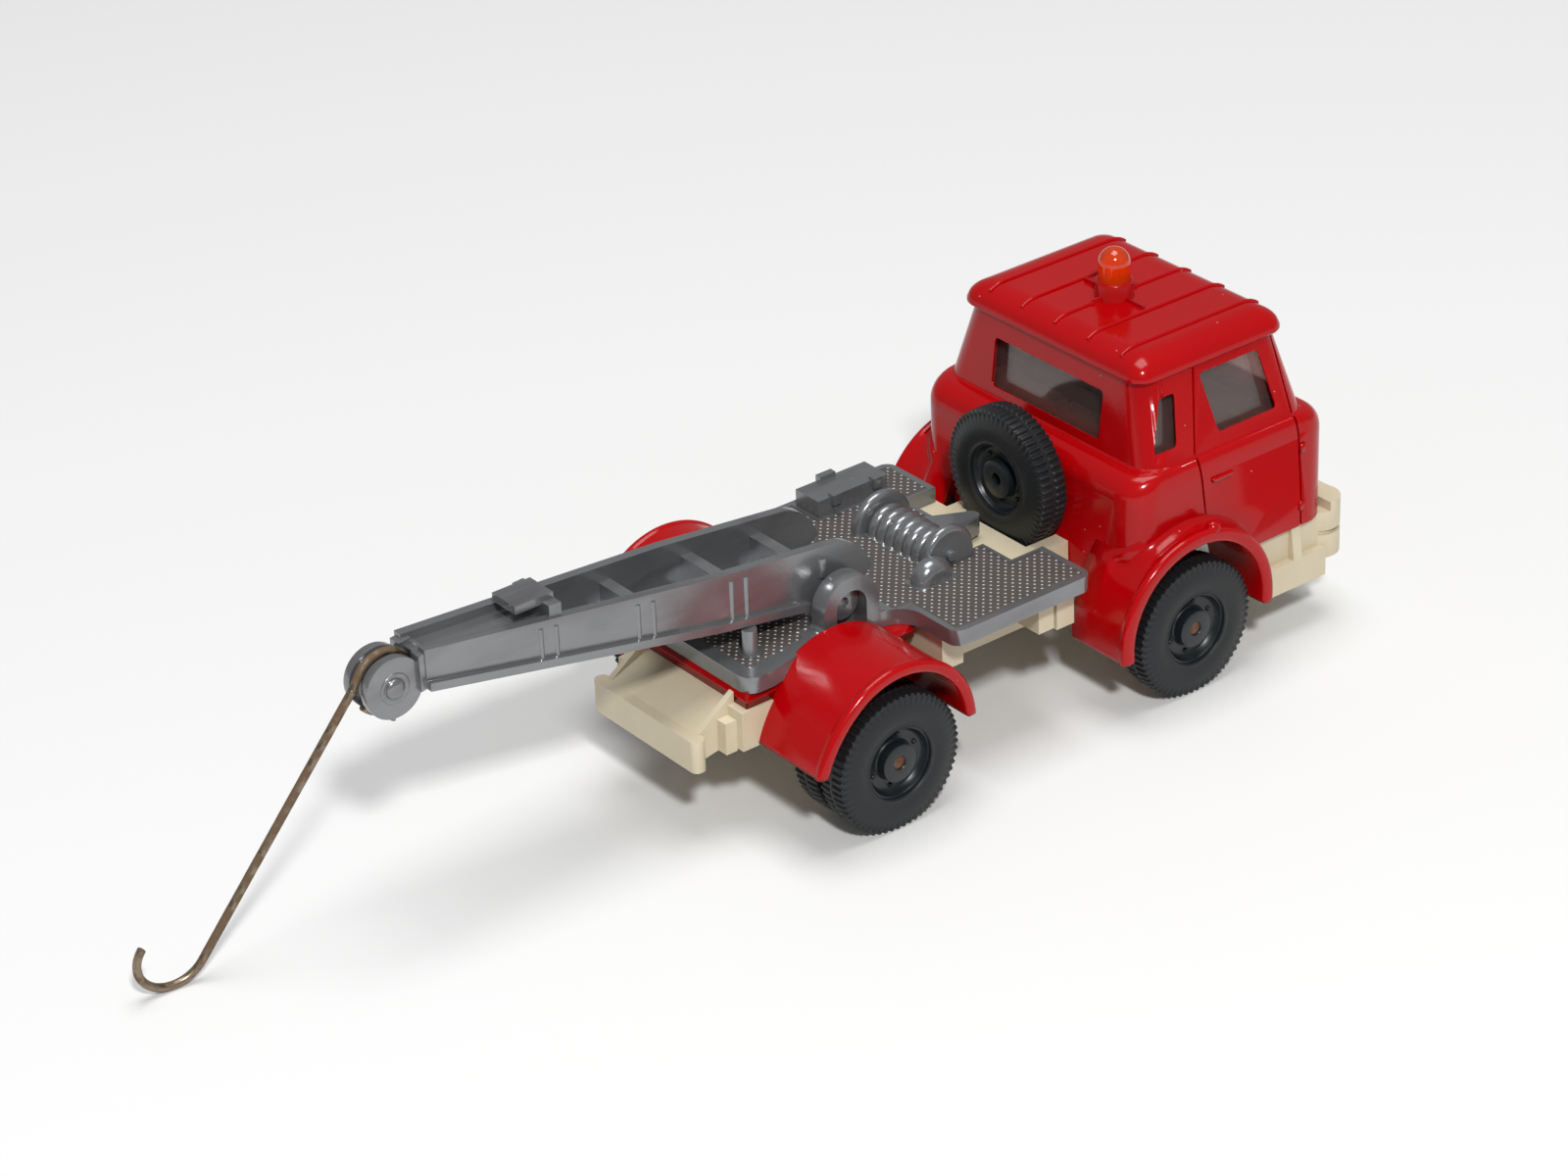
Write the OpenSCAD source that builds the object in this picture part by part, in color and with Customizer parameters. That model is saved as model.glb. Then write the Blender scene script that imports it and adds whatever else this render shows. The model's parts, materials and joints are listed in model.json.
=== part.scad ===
// Toy tow truck: cab-over truck with a crane boom that tips on the rear deck.
// +X is the way the truck drives, +Y is its left side, +Z is up, and z = 0 is the ground.
// Inside the file, x is measured from the rear axle. on_origin() then moves every piece
// back by mid_x, so the finished model has its origin under the middle of its bounding box.

/* [Wheels] */
// Rear axle to front axle
wheelbase = 29.1; // [27:0.1:36]
// Outer radius of a tyre
tyre_r = 5.6; // [5.2:0.05:5.8]
// Width of one tyre
tyre_w = 2.8; // [2.2:0.05:2.9]
// Radius of the bead where the tyre sits on its rim
bead_r = 3.5; // [3.0:0.05:4.0]
// Side of the truck to the outer face of the outer tyres
tyre_face_y = 14.1; // [13.6:0.05:14.1]
// Gap between the two tyres of a rear pair
twin_gap = 0.3; // [0.2:0.05:0.6]
// Radius of the steel axles
axle_r = 0.55; // [0.4:0.05:0.8]
// Running clearance of the axles and pins, on the radius
run_gap = 0.05; // [0.02:0.01:0.1]

/* [Cab] */
// Length of the cab body below the windows
cab_l = 20.4; // [18:0.1:21]
// Half the width of the cab body below the windows
cab_half_w = 12.6; // [11.8:0.1:13.2]
// Half the width of the roof rim
roof_half_w = 10.35; // [9.8:0.05:11]
// Height of the shoulder under the windows
belt_z = 19.0; // [18.2:0.1:20]
// Height of the roof rim
roof_z = 25.9; // [25:0.1:28]
// Height of the crown above the roof rim
crown_h = 1.5; // [1:0.1:2]
// Thickness of the moulded cab walls
cab_wall = 0.8; // [0.6:0.05:1.0]
// Thickness of the clear window insert
pane_t = 0.45; // [0.35:0.05:0.6]
// Gap between the window insert and the cab
pane_gap = 0.06; // [0.04:0.01:0.1]
// Radius of the beacon
beacon_r = 1.25; // [0.9:0.05:1.4]
// Height of the beacon
beacon_h = 2.6; // [2.4:0.1:3.6]

/* [Fenders and mudguards] */
// Inner radius of the front wheel arches
arch_r = 6.65; // [6.2:0.05:6.9]
// Thickness of the front fenders
fender_t = 0.95; // [0.8:0.05:1.1]
// Inner radius of the rear mudguards
guard_r = 6.1; // [5.95:0.05:6.3]
// Thickness of the rear mudguards
guard_t = 0.8; // [0.6:0.05:0.9]
// Side of the truck to the outer edge of the fenders and mudguards
guard_y = 14.45; // [14.3:0.05:14.8]

/* [Deck] */
// Height of the deck's top face
deck_z = 12.9; // [12.8:0.05:13.4]
// Thickness of the deck
deck_t = 1.3; // [1.2:0.05:1.5]
// Half the width of the deck behind the cab
deck_half_w = 12.0; // [11.6:0.1:12.6]
// Rear axle to the rear edge of the deck
deck_rear = 8.45; // [8:0.05:9]
// Radius of the winch drum over its turns of cable
drum_r = 2.0; // [1.6:0.1:2.2]
// Number of turns of cable on the drum
cable_turns = 7; // [5:1:9]

/* [Boom] */
// Height of the boom's pivot above the deck
pivot_up = 1.4; // [0.95:0.05:1.6]
// Rear axle to the boom's pivot
pivot_x = 2.3; // [2:0.05:3.5]
// Radius of the trunnions that the boom tips on
trunnion_r = 1.35; // [1.2:0.05:1.9]
// Pivot to the centre of the cable sheave
boom_l = 37.1; // [32:0.1:44]
// Angle of the line from the pivot up to the sheave
boom_rise = 8.9; // [8:0.1:13]
// Half the outer width of the boom at the pivot
boom_half_w = 3.6; // [3.2:0.05:3.7]
// Half the outer width of the boom where its walls end
boom_tip_half_w = 1.9; // [1.7:0.05:2.2]
// Thickness of the boom's walls
boom_wall = 0.8; // [0.6:0.05:0.9]
// Angle that the boom tips up before its heel lies on the deck
lift_stop = 36; // [30:1:40]

/* [Sheave and hook] */
// Radius of the cheeks at the tip
cheek_r = 2.35; // [2.2:0.05:3.0]
// Gap between the cheeks
cheek_gap = 1.5; // [1.3:0.05:1.8]
// Thickness of one cheek
cheek_t = 0.7; // [0.5:0.05:0.8]
// Radius of the pin through the tip
pin_r = 0.6; // [0.45:0.05:0.8]
// Radius of the hook wire
wire_r = 0.32; // [0.25:0.01:0.36]
// Radius of the hook's bend, to the middle of the wire
bend_r = 2.7; // [2.2:0.1:3.2]
// Angle of the hook wire back from straight down
hook_pitch = 33; // [25:1:45]
// Angle that the hook wire leans to the left
hook_lean = 9; // [0:0.5:10]

/* [Hidden] */
$fn = 64;

// Cab places
cab_rear_x = wheelbase - 5.1;
cab_front_x = cab_rear_x + cab_l;
cab_floor_z = 9.6;
pane_rear_x = cab_rear_x + 1.9;
pane_front_x = cab_front_x - 1.7;
roof_rear_x = cab_rear_x + 2.5;
roof_front_x = cab_front_x - 2.75;
belt_half_w = cab_half_w - 0.5;
roof_in = 0.25;
plan_r = 2.2;
beacon_x = cab_rear_x + 9.3;
ceiling_z = roof_z + crown_h - cab_wall;
socket_h = 1.4;
shoulder_h = 2.0;
dash_x = cab_front_x - cab_wall - 3.6;
column_r = 0.35;

// Wheel places
tyre_mid_y = tyre_face_y - tyre_w / 2;
twin_mid_y = tyre_mid_y - tyre_w - twin_gap;
rim_w = tyre_w - 0.5;
arch_z = 6.3;
guard_z = 6.9;
guard_in_y = twin_mid_y - tyre_w / 2 - 0.55;
fender_in_y = 8.3;
fender_front_x = wheelbase + arch_r + fender_t + 0.2;

// Spare wheel, standing on the chassis against the cab
spare_gap = 0.2;
spare_mid_x = cab_rear_x - spare_gap - tyre_w / 2;
spare_z = 15.8;
peg_r = 0.55;

// Chassis places
rail_y = [3.4, 5.0];
frame_top_z = 10.4;
bumper_front_x = cab_front_x + 1.9;
bumper_half_w = cab_half_w;

// Deck places
deck_front = cab_rear_x - 3.6;
deck_step_x = guard_r + guard_t + 0.2;
waist_half_w = 5.9;
notch_half_w = 6.3;
notch_l = 3.1;
drum_x = deck_front - 6.75;
drum_y = [-3.0, 4.2];
flange_r = drum_r + 0.8;
flange_t = 0.85;
post = [-5.8, boom_half_w + 0.5, 0.58];
arch_y = [boom_half_w + 0.75, waist_half_w];
arch_band = 1.15;

// Boom places
pivot_z = deck_z + pivot_up;
tip = [pivot_x - boom_l * cos(boom_rise), pivot_z + boom_l * sin(boom_rise)];
heel_r = pivot_up - 0.1;
heel_l = 3.8;
wall_end_x = tip[0] + cheek_r;
boom_low_tip = tip[1] - 0.3;
boom_low_root = pivot_z - 0.05;
boom_high_tip = tip[1] + 2.3;
boom_high_root = pivot_z + 4.35;
flange_out = 0.45;
bracket_x = boom_x(0.642);
straight_x = boom_x(0.288);
sheave_w = cheek_gap - 0.12;

// Hook places
groove_r = cheek_r - 0.45;
wrap_r = groove_r + run_gap + wire_r;
stub_l = 1.3;
wire_fall = cos(hook_lean) * cos(hook_pitch);
leave = [tip[0] - wrap_r * cos(hook_pitch), tip[1] + wrap_r * sin(hook_pitch)];
stub_end = [leave[0] - stub_l * sin(hook_pitch), leave[1] - stub_l * cos(hook_pitch)];
bend_reach_z = norm([sin(hook_pitch), wire_fall]);
bend_reach_x = norm([cos(hook_pitch), cos(hook_lean) * sin(hook_pitch)]);
// The wire is as long as it needs to be for the bend to touch the ground
wire_l = (stub_end[1] + bend_r * sin(hook_pitch) - bend_r * bend_reach_z - wire_r) / wire_fall;
hook_rear_x = stub_end[0] - wire_l * cos(hook_lean) * sin(hook_pitch) - bend_r * cos(hook_pitch)
    - bend_r * bend_reach_x - wire_r;
mid_x = (bumper_front_x + hook_rear_x) / 2;

eps = 0.01;
far = 60;

// Moves a piece from the rear axle's frame to the model's origin
module on_origin() translate([-mid_x, 0, 0]) children();

// Both sides of the truck
module both_sides() {
    children();
    mirror([0, 1, 0]) children();
}

// A box from its two opposite corners
module box(a, b) translate(a) cube(b - a);

// A cylinder along Y from y0 to y1, about the point (x, z)
module rod_y(x, z, r, y0, y1) translate([x, y1, z]) rotate([90, 0, 0]) cylinder(r = r, h = y1 - y0);

// A side outline in (x, z), spread across Y from y0 to y1
module side_slab(y0, y1) translate([0, y1, 0]) rotate([90, 0, 0]) linear_extrude(y1 - y0) children();

// An outline in (y, z), spread along X from x0 to x1
module end_slab(x0, x1) translate([x0, 0, 0]) rotate([90, 0, 90]) linear_extrude(x1 - x0) children();

// A rounded rectangle in plan
module plan_rect(x0, x1, half_w, r) {
    translate([x0 + r, -half_w]) square([x1 - x0 - 2 * r, 2 * half_w]);
    translate([x0, -half_w + r]) square([x1 - x0, 2 * half_w - 2 * r]);
    for (x = [x0 + r, x1 - r], y = [-half_w + r, half_w - r]) translate([x, y]) circle(r, $fn = 32);
}

// Points along an arc
function arc_points(c, r, a0, a1, n) = [for (i = [0:n]) let (a = a0 + (a1 - a0) * i / n)
    [c[0] + r * cos(a), c[1] + r * sin(a)]];

// ---------------------------------------------------------------- cab

// The shoulder under the windows: a quarter round from the body's side at u to the belt at u_belt.
// u is x in the side view and y in the end view, and t is how far the outline is drawn in.
function shoulder_points(u, u_belt, t) = let (z = belt_z - t * 0.6)
    [for (i = [0:4]) let (a = 90 * i / 4) [u + (u_belt - u) * (1 - cos(a)), z - shoulder_h * (1 - sin(a))]];

// The cab in side view, up to height z_top, drawn in by t
module cab_side_view(t, z_low, z_top) polygon(concat(
    [[cab_rear_x + t, z_low]],
    shoulder_points(cab_rear_x + t, pane_rear_x + t, t),
    [[roof_rear_x + roof_in + t, roof_z], [roof_rear_x + roof_in + t, z_top],
        [roof_front_x - roof_in - t, z_top], [roof_front_x - roof_in - t, roof_z]],
    [for (i = [4:-1:0]) shoulder_points(cab_front_x - t, pane_front_x - t, t)[i]],
    [[cab_front_x - t, z_low]]));

// The cab in end view, up to height z_top, drawn in by t
module cab_end_view(t, z_low, z_top) polygon(concat(
    [[-cab_half_w + t, z_low]],
    shoulder_points(-cab_half_w + t, -belt_half_w + t, t),
    [[-roof_half_w + roof_in + t, roof_z], [-roof_half_w + roof_in + t, z_top],
        [roof_half_w - roof_in - t, z_top], [roof_half_w - roof_in - t, roof_z]],
    [for (i = [4:-1:0]) shoulder_points(cab_half_w - t, belt_half_w - t, t)[i]],
    [[cab_half_w - t, z_low]]));

// The cab's solid: the side view and the end view cut each other, with round upright corners
module cab_solid(t, z_low, z_top) intersection() {
    side_slab(-far, far) cab_side_view(t, z_low, z_top);
    end_slab(0, far) cab_end_view(t, z_low, z_top);
    linear_extrude(far) plan_rect(cab_rear_x + t, cab_front_x - t, cab_half_w - t, plan_r);
}

// Outline of the roof from u0 to u1: an upright rim and a crown with round edges
module roof_outline(u0, u1) {
    edge = 2.2;
    bend = [for (i = [0:5]) let (a = 90 * i / 5) [edge * (1 - cos(a)), crown_h * sin(a)]];
    polygon(concat(
        [[u0, roof_z - 0.35]], [for (p = bend) [u0 + p[0], roof_z + p[1]]],
        [for (i = [5:-1:0]) [u1 - bend[i][0], roof_z + bend[i][1]]], [[u1, roof_z - 0.35]]));
}

// The crowned roof with its rim
module cab_roof() intersection() {
    side_slab(-far, far) roof_outline(roof_rear_x, roof_front_x);
    end_slab(0, far) roof_outline(-roof_half_w, roof_half_w);
    linear_extrude(far) plan_rect(roof_rear_x, roof_front_x, roof_half_w, 1.8);
}

// Door windows and quarter windows, through both sides
module side_windows() {
    low = belt_z + 1.35;
    high = roof_z - 1.05;
    mid = cab_rear_x + 8.3;
    side_slab(-far, far) {
        polygon([[mid + 0.9, low], [cab_front_x - 5.2, low], [cab_front_x - 6.0, high], [mid, high]]);
        polygon([[cab_rear_x + 3.0, low], [cab_rear_x + 5.1, low], [cab_rear_x + 5.9, high - 0.7],
            [cab_rear_x + 4.2, high - 0.7]]);
    }
}

// Rear window, and the windscreen in front
module end_windows() {
    end_slab(cab_rear_x, cab_rear_x + 5)
        polygon([[-6.2, belt_z + 0.8], [6.2, belt_z + 0.8], [6.2, roof_z - 2.1], [-6.2, roof_z - 2.1]]);
    end_slab(cab_front_x - 5, cab_front_x)
        polygon([[-10.4, belt_z + 0.9], [10.4, belt_z + 0.9], [9.0, roof_z - 1.0], [-9.0, roof_z - 1.0]]);
}

// One front fender: a half-round shell over the wheel
module front_fender() difference() {
    rod_y(wheelbase, arch_z, arch_r + fender_t, fender_in_y, guard_y);
    box([0, 0, -far], [far, 20, arch_z - 0.9]);
}

// Grille slots and headlights on the front, door nubs and handles on the sides
module cab_trim() {
    for (z = [12.2, 13.6, 15.0]) box([cab_front_x - eps, -5.5, z], [cab_front_x + 0.25, 5.5, z + 0.6]);
    for (y = [-9.2, 9.2])
        translate([cab_front_x - 0.4, y, 12.9]) rotate([0, 90, 0]) cylinder(r = 1.3, h = 0.8);
    both_sides() {
        side_y = cab_half_w;
        for (z = [11.6, 17.0])
            box([cab_front_x - 4.6, side_y - 0.2, z], [cab_front_x - 4.3, side_y + 0.2, z + 0.7]);
        box([cab_rear_x + 8.0, side_y - 0.2, 16.9], [cab_rear_x + 9.9, side_y + 0.25, 17.2]);
        translate([wheelbase + 1.6, guard_y - 0.7, arch_z + arch_r + fender_t - 0.5])
            cylinder(r = 0.5, h = 0.9);
    }
    // ribs along the roof, and the crossed fins under the beacon
    top = roof_z + crown_h;
    for (y = roof_half_w * [-0.725, -0.3625, 0, 0.3625, 0.725])
        box([roof_rear_x + 1.9, y - 0.15, top - 0.4], [roof_front_x - 1.9, y + 0.15, top + 0.12]);
    box([beacon_x - 2.3, -0.1, top - 0.3], [beacon_x + 2.3, 0.1, top + 0.25]);
    box([beacon_x - 0.1, -3.4, top - 0.3], [beacon_x + 0.1, 3.4, top + 0.25]);
}

module cab_shell() color("firebrick") on_origin() difference() {
    union() {
        difference() {
            union() {
                cab_solid(0, cab_floor_z, roof_z);
                cab_roof();
            }
            cab_solid(cab_wall, cab_floor_z - 1, ceiling_z);
        }
        both_sides() front_fender();
        cab_trim();
        translate([beacon_x, 0, ceiling_z]) cylinder(r = beacon_r + 0.3, h = cab_wall + socket_h);
        // peg for the spare wheel
        translate([cab_rear_x - 1.7, 0, spare_z]) rotate([0, 90, 0]) cylinder(r = peg_r, h = 2.2);
    }
    both_sides() rod_y(wheelbase, arch_z, arch_r, fender_in_y - eps, far);
    side_windows();
    end_windows();
    // seams of the doors, below the shoulder
    both_sides() side_slab(cab_half_w - 0.2, far) {
        polygon([[cab_rear_x + 7.3, 13.4], [cab_rear_x + 7.5, 13.4], [cab_rear_x + 6.9, belt_z - shoulder_h],
            [cab_rear_x + 6.7, belt_z - shoulder_h]]);
        polygon([[cab_front_x - 4.1, cab_floor_z - 1], [cab_front_x - 3.9, cab_floor_z - 1],
            [cab_front_x - 3.4, belt_z - shoulder_h], [cab_front_x - 3.6, belt_z - shoulder_h]]);
    }
    // socket for the beacon
    translate([beacon_x, 0, roof_z + crown_h + socket_h - 1.0]) cylinder(r = beacon_r, h = 2);
}

// The space inside the windows between two heights, drawn in by t from the outside of the cab
module window_space(t, z0, z1) {
    low = belt_z - t * 0.6;
    function at(z, u_belt, u_roof) = u_belt + (u_roof - u_belt) * (z - low) / (roof_z - low);
    function rear(z) = at(z, pane_rear_x, roof_rear_x + roof_in) + t;
    function front(z) = at(z, pane_front_x, roof_front_x - roof_in) - t;
    function side(z) = at(z, belt_half_w, roof_half_w - roof_in) - t;
    intersection() {
        side_slab(-far, far) polygon([[rear(z0), z0], [rear(z1), z1], [front(z1), z1], [front(z0), z0]]);
        end_slab(0, far) polygon([[-side(z0), z0], [-side(z1), z1], [side(z1), z1], [side(z0), z0]]);
    }
}

// One clear insert that stands behind all the windows
module cab_glazing() color("lightblue", 0.4) on_origin() difference() {
    window_space(cab_wall + pane_gap, belt_z, ceiling_z);
    window_space(cab_wall + pane_gap + pane_t, belt_z - 1, ceiling_z + 1);
}

// Cab floor, a bench with two cushions, and the dashboard, moulded as one insert
module cab_interior() color("burlywood") on_origin() {
    in_y = fender_in_y - 0.3;
    rear_x = cab_rear_x + cab_wall + 0.6;
    front_x = cab_front_x - cab_wall - 0.6;
    box([rear_x, -in_y, cab_floor_z], [front_x, in_y, cab_floor_z + 0.6]);
    box([rear_x + 0.6, -in_y, cab_floor_z + 0.5], [rear_x + 7.0, in_y, 14.0]);
    both_sides() {
        box([rear_x + 3.6, 0.3, 13.9], [rear_x + 7.2, in_y, 14.7]);
        box([rear_x + 2.4, 0.3, 13.9], [rear_x + 3.7, in_y, belt_z + 1.0]);
    }
    box([dash_x, -in_y, cab_floor_z + 0.5], [dash_x + 0.8, in_y, 14.0]);
    difference() {
        box([dash_x, -in_y, 13.9], [front_x - 0.4, in_y, belt_z - 1.8]);
        on_column() cylinder(r = column_r, h = 10);
    }
}

// Places children on the steering column, +Z pointing from the dashboard to the driver
module on_column() translate([dash_x + 1.0, 4.2, 15.2]) rotate([0, -60, 0]) children();

module steering_wheel() color("dimgray") on_origin() {
    on_column() {
        cylinder(r = column_r, h = 3.0);
        translate([0, 0, 3.0]) {
            rotate_extrude() translate([1.8, 0]) circle(0.25, $fn = 24);
            translate([-1.8, -0.25, -0.2]) cube([3.6, 0.5, 0.4]);
            cylinder(r = 0.6, h = 0.4, center = true);
        }
    }
}

module beacon_lens() color("orange") on_origin() translate([beacon_x, 0, roof_z + crown_h + socket_h - 1.0])
    rotate_extrude() intersection() {
        union() {
            square([beacon_r, 1 + beacon_h - beacon_r]);
            translate([0, 1 + beacon_h - beacon_r]) circle(beacon_r);
        }
        square([2 * beacon_r, 10]);
    }

// ---------------------------------------------------------------- chassis

// Bearing block for an axle at x, between two distances from the middle
module bearing_block(x, y0, y1, z_top) both_sides() box([x - 2.1, y0, tyre_r - 1.3], [x + 2.1, y1, z_top]);

// Sloping tail plate between two gussets, with the rear bar and the lamp blocks
module tail() {
    root_x = -deck_rear + 0.05;
    bar_x = root_x - 4.4;
    bar_top = 8.9;
    side_slab(-5.3, 5.3) polygon([[root_x + 0.6, frame_top_z], [root_x, frame_top_z], [bar_x + 0.9, bar_top],
        [bar_x + 0.9, 6.3], [root_x, 8.6], [root_x + 0.6, 8.6]]);
    both_sides() {
        side_slab(5.0, 5.5) polygon([[root_x + 0.6, frame_top_z], [root_x - 0.1, frame_top_z],
            [root_x - 0.1, 11.3], [bar_x + 0.9, bar_top], [bar_x + 0.6, 6.6], [root_x + 0.6, 7.4]]);
        box([root_x - 0.7, 5.4, 7.2], [root_x + 3.2, 7.2, frame_top_z]);
        box([root_x - 1.7, 5.5, 7.0], [root_x - 0.7, 6.5, 9.6]);
    }
    translate([0, 0, 6.3]) linear_extrude(bar_top - 6.3) plan_rect(bar_x, bar_x + 1.2, 6.3, 0.55);
}

// Front bumper with its two bars, and the steps under the doors
module nose() {
    // the bumper's lower bar stands under the cab, the upper one in front of it
    translate([0, 0, 5.6]) linear_extrude(2.0)
        plan_rect(cab_front_x - 1.2, bumper_front_x, bumper_half_w, 1.6);
    translate([0, 0, 5.6]) linear_extrude(cab_floor_z - 5.6)
        plan_rect(cab_front_x - 1.2, bumper_front_x - 0.35, bumper_half_w - 0.3, 1.4);
    intersection() {
        translate([0, 0, 8.0]) linear_extrude(2.4)
            plan_rect(cab_front_x - 1.2, bumper_front_x, bumper_half_w, 1.6);
        union() {
            box([0, -far, 0], [far, far, cab_floor_z]);
            box([cab_front_x + 0.05, -far, 0], [far, far, far]);
        }
    }
    both_sides() {
        box([fender_front_x, 10.4, 4.4], [cab_front_x - 0.6, cab_half_w + 0.2, 6.8]);
        box([fender_front_x, 10.4, 6.7], [cab_front_x - 0.6, cab_half_w - 0.5, cab_floor_z]);
        end_slab(cab_front_x - 4.0, cab_front_x - 3.1) polygon([[cab_half_w - 0.6, cab_floor_z],
            [cab_half_w - 0.2, cab_floor_z], [cab_half_w + 0.2, 6.7], [cab_half_w - 0.6, 6.7]]);
    }
}

// The middle of the chassis behind the cab, with a tank on each side and the spare wheel's tray
module mid_box() {
    mid_x0 = deck_step_x + 0.6;
    mid_x1 = deck_front + 0.2;
    tray_half_w = notch_half_w - 1.1;
    difference() {
        union() {
            box([mid_x0, -fender_in_y + 0.2, 8.0], [mid_x1, fender_in_y - 0.2, deck_z - deck_t]);
            box([mid_x1 - 1, -tray_half_w, 8.0], [cab_rear_x - 0.1, tray_half_w, deck_z - deck_t]);
        }
        box([mid_x0 + 0.9, -fender_in_y + 1.1, 7], [mid_x1 - 0.9, fender_in_y - 1.1, deck_z - deck_t - 1.0]);
    }
    both_sides() {
        box([cab_rear_x - 7.6, fender_in_y - 0.3, 8.5], [cab_rear_x - 6.1, 10.4, deck_z - deck_t]);
        box([cab_rear_x - 5.8, fender_in_y - 0.3, 8.2], [cab_rear_x - 4.1, 10.4, deck_z - deck_t]);
        box([cab_rear_x - 6.2, fender_in_y - 0.3, 8.8], [cab_rear_x - 5.7, 10.0, deck_z - deck_t]);
        box([mid_x0, fender_in_y - 0.3, 8.4], [mid_x0 + 2, 9.6, deck_z - deck_t]);
    }
}

module chassis() color("antiquewhite") on_origin() difference() {
    union() {
        both_sides() box([-deck_rear + 0.5, rail_y[0], 7.0], [cab_front_x - 1, rail_y[1], cab_floor_z]);
        box([-deck_rear + 0.5, -rail_y[1], cab_floor_z - 0.9], [cab_rear_x, rail_y[1], frame_top_z]);
        box([cab_rear_x - 1.2, -fender_in_y + 0.4, cab_floor_z - 0.9],
            [cab_front_x - 0.6, fender_in_y - 0.4, cab_floor_z]);
        box([fender_front_x, -10.5, cab_floor_z - 0.9], [cab_front_x - 0.6, 10.5, cab_floor_z]);
        bearing_block(0, rail_y[0], 6.6, frame_top_z);
        bearing_block(wheelbase, rail_y[1] - 0.4, 8.2, cab_floor_z);
        mid_box();
        tail();
        nose();
    }
    rod_y(0, tyre_r, axle_r + run_gap, -far, far);
    rod_y(wheelbase, tyre_r, axle_r + run_gap, -far, far);
    // tray that the spare tyre stands in
    translate([spare_mid_x - tyre_w / 2 - 0.1, 0, spare_z]) rotate([0, 90, 0])
        cylinder(r = tyre_r + run_gap, h = far);
}

// Both mudguards and the plate that joins them under the deck
module rear_mudguards() color("firebrick") on_origin() {
    difference() {
        both_sides() rod_y(0, guard_z, guard_r + guard_t, guard_in_y, guard_y);
        both_sides() rod_y(0, guard_z, guard_r, guard_in_y + 0.4, far);
        box([-far, -far, -1], [far, far, guard_z + 0.75]);
    }
    // rolled lip along the outer edge
    both_sides() difference() {
        rod_y(0, guard_z, guard_r + guard_t + 0.15, guard_y - 0.5, guard_y);
        rod_y(0, guard_z, guard_r + guard_t - 0.1, 0, far);
        box([-far, -far, -1], [far, far, guard_z + 0.75]);
    }
    box([-deck_rear, -guard_in_y - 0.2, frame_top_z], [deck_step_x + 0.2, guard_in_y + 0.2, deck_z - deck_t]);
}

// ---------------------------------------------------------------- deck

// The deck's left half in plan, from the rear edge round to the notch behind the spare wheel
module deck_half() {
    sweep_r = 2.2;
    polygon(concat(
        [[-deck_rear, -eps]],
        arc_points([-deck_rear + 1.2, 6.1], 1.2, 180, 90, 6),
        [[-6.1, 7.3], [-0.4, waist_half_w], [deck_step_x - sweep_r, waist_half_w]],
        arc_points([deck_step_x - sweep_r, waist_half_w + sweep_r], sweep_r, -90, 0, 8),
        arc_points([deck_step_x + 1.0, deck_half_w - 1.0], 1.0, 180, 90, 6),
        arc_points([deck_front - 0.9, deck_half_w - 0.9], 0.9, 90, 0, 6),
        [[deck_front, notch_half_w], [deck_front - notch_l, notch_half_w], [deck_front - notch_l, 3.0],
            [drum_x + 1.95, 3.0], [drum_x + 1.95, -eps]]));
}

// One arch that stands on the deck's edge and carries a trunnion
module boom_bearing() {
    out_r = trunnion_r + run_gap + arch_band;
    foot = out_r + 0.7;
    intersection() {
        rod_y(pivot_x, pivot_z, out_r, arch_y[0], arch_y[1]);
        box([-far, 0, deck_z - 0.5], [far, far, far]);
    }
    box([pivot_x - out_r, arch_y[0], deck_z - 0.5], [pivot_x + out_r, arch_y[1], pivot_z]);
    // the feet run out into the deck with a small hollow curve
    difference() {
        box([pivot_x - foot, arch_y[0], deck_z - 0.5], [pivot_x + foot, arch_y[1], deck_z + 0.7]);
        for (s = [-1, 1]) rod_y(pivot_x + s * foot, deck_z + 0.7, 0.7, 0, far);
    }
}

// Disc across the truck with a fully rounded rim, its middle at x and z
module rolled_disc(x, z, r, y0, y1) translate([x, y1, z]) rotate([90, 0, 0]) rotate_extrude() {
    t = y1 - y0;
    square([r - t / 2, t]);
    translate([r - t / 2, t / 2]) circle(t / 2, $fn = 48);
}

// Drum with its turns of cable, two flanges that the deck cuts off, and the end boss
module winch() {
    turn_w = (drum_y[1] - drum_y[0]) / cable_turns;
    intersection() {
        union() {
            translate([drum_x, drum_y[1], deck_z]) rotate([90, 0, 0]) rotate_extrude() {
                square([drum_r - turn_w / 2 + 0.1, drum_y[1] - drum_y[0]]);
                for (i = [0:cable_turns - 1])
                    translate([drum_r - turn_w / 2, (i + 0.5) * turn_w]) circle(turn_w / 2, $fn = 24);
            }
            rolled_disc(drum_x - 0.2, deck_z + 0.75, flange_r - 0.4, drum_y[0] - flange_t, drum_y[0] + eps);
            rolled_disc(drum_x, deck_z, flange_r, drum_y[1] - eps, drum_y[1] + flange_t);
            rod_y(drum_x - 0.3, deck_z + 0.9, 0.4, drum_y[0] - flange_t - 0.4, drum_y[0] - flange_t / 2);
            rolled_disc(drum_x - 2.7, deck_z, 1.75, drum_y[0] - 2.5, drum_y[0] - flange_t + 0.3);
        }
        box([0, -far, deck_z - 0.6], [far, far, far]);
    }
}

// Tongue from the drum to the spare wheel
module tongue() translate([0, 0, deck_z - 0.8]) linear_extrude(1.5) {
    polygon([[drum_x + 1.2, -1.6], [drum_x + 1.2, 2.8], [deck_front - 1.7, 0.8], [deck_front - 1.7, -0.6]]);
    translate([deck_front - 1.7, 0.1]) circle(0.7, $fn = 24);
}

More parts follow.
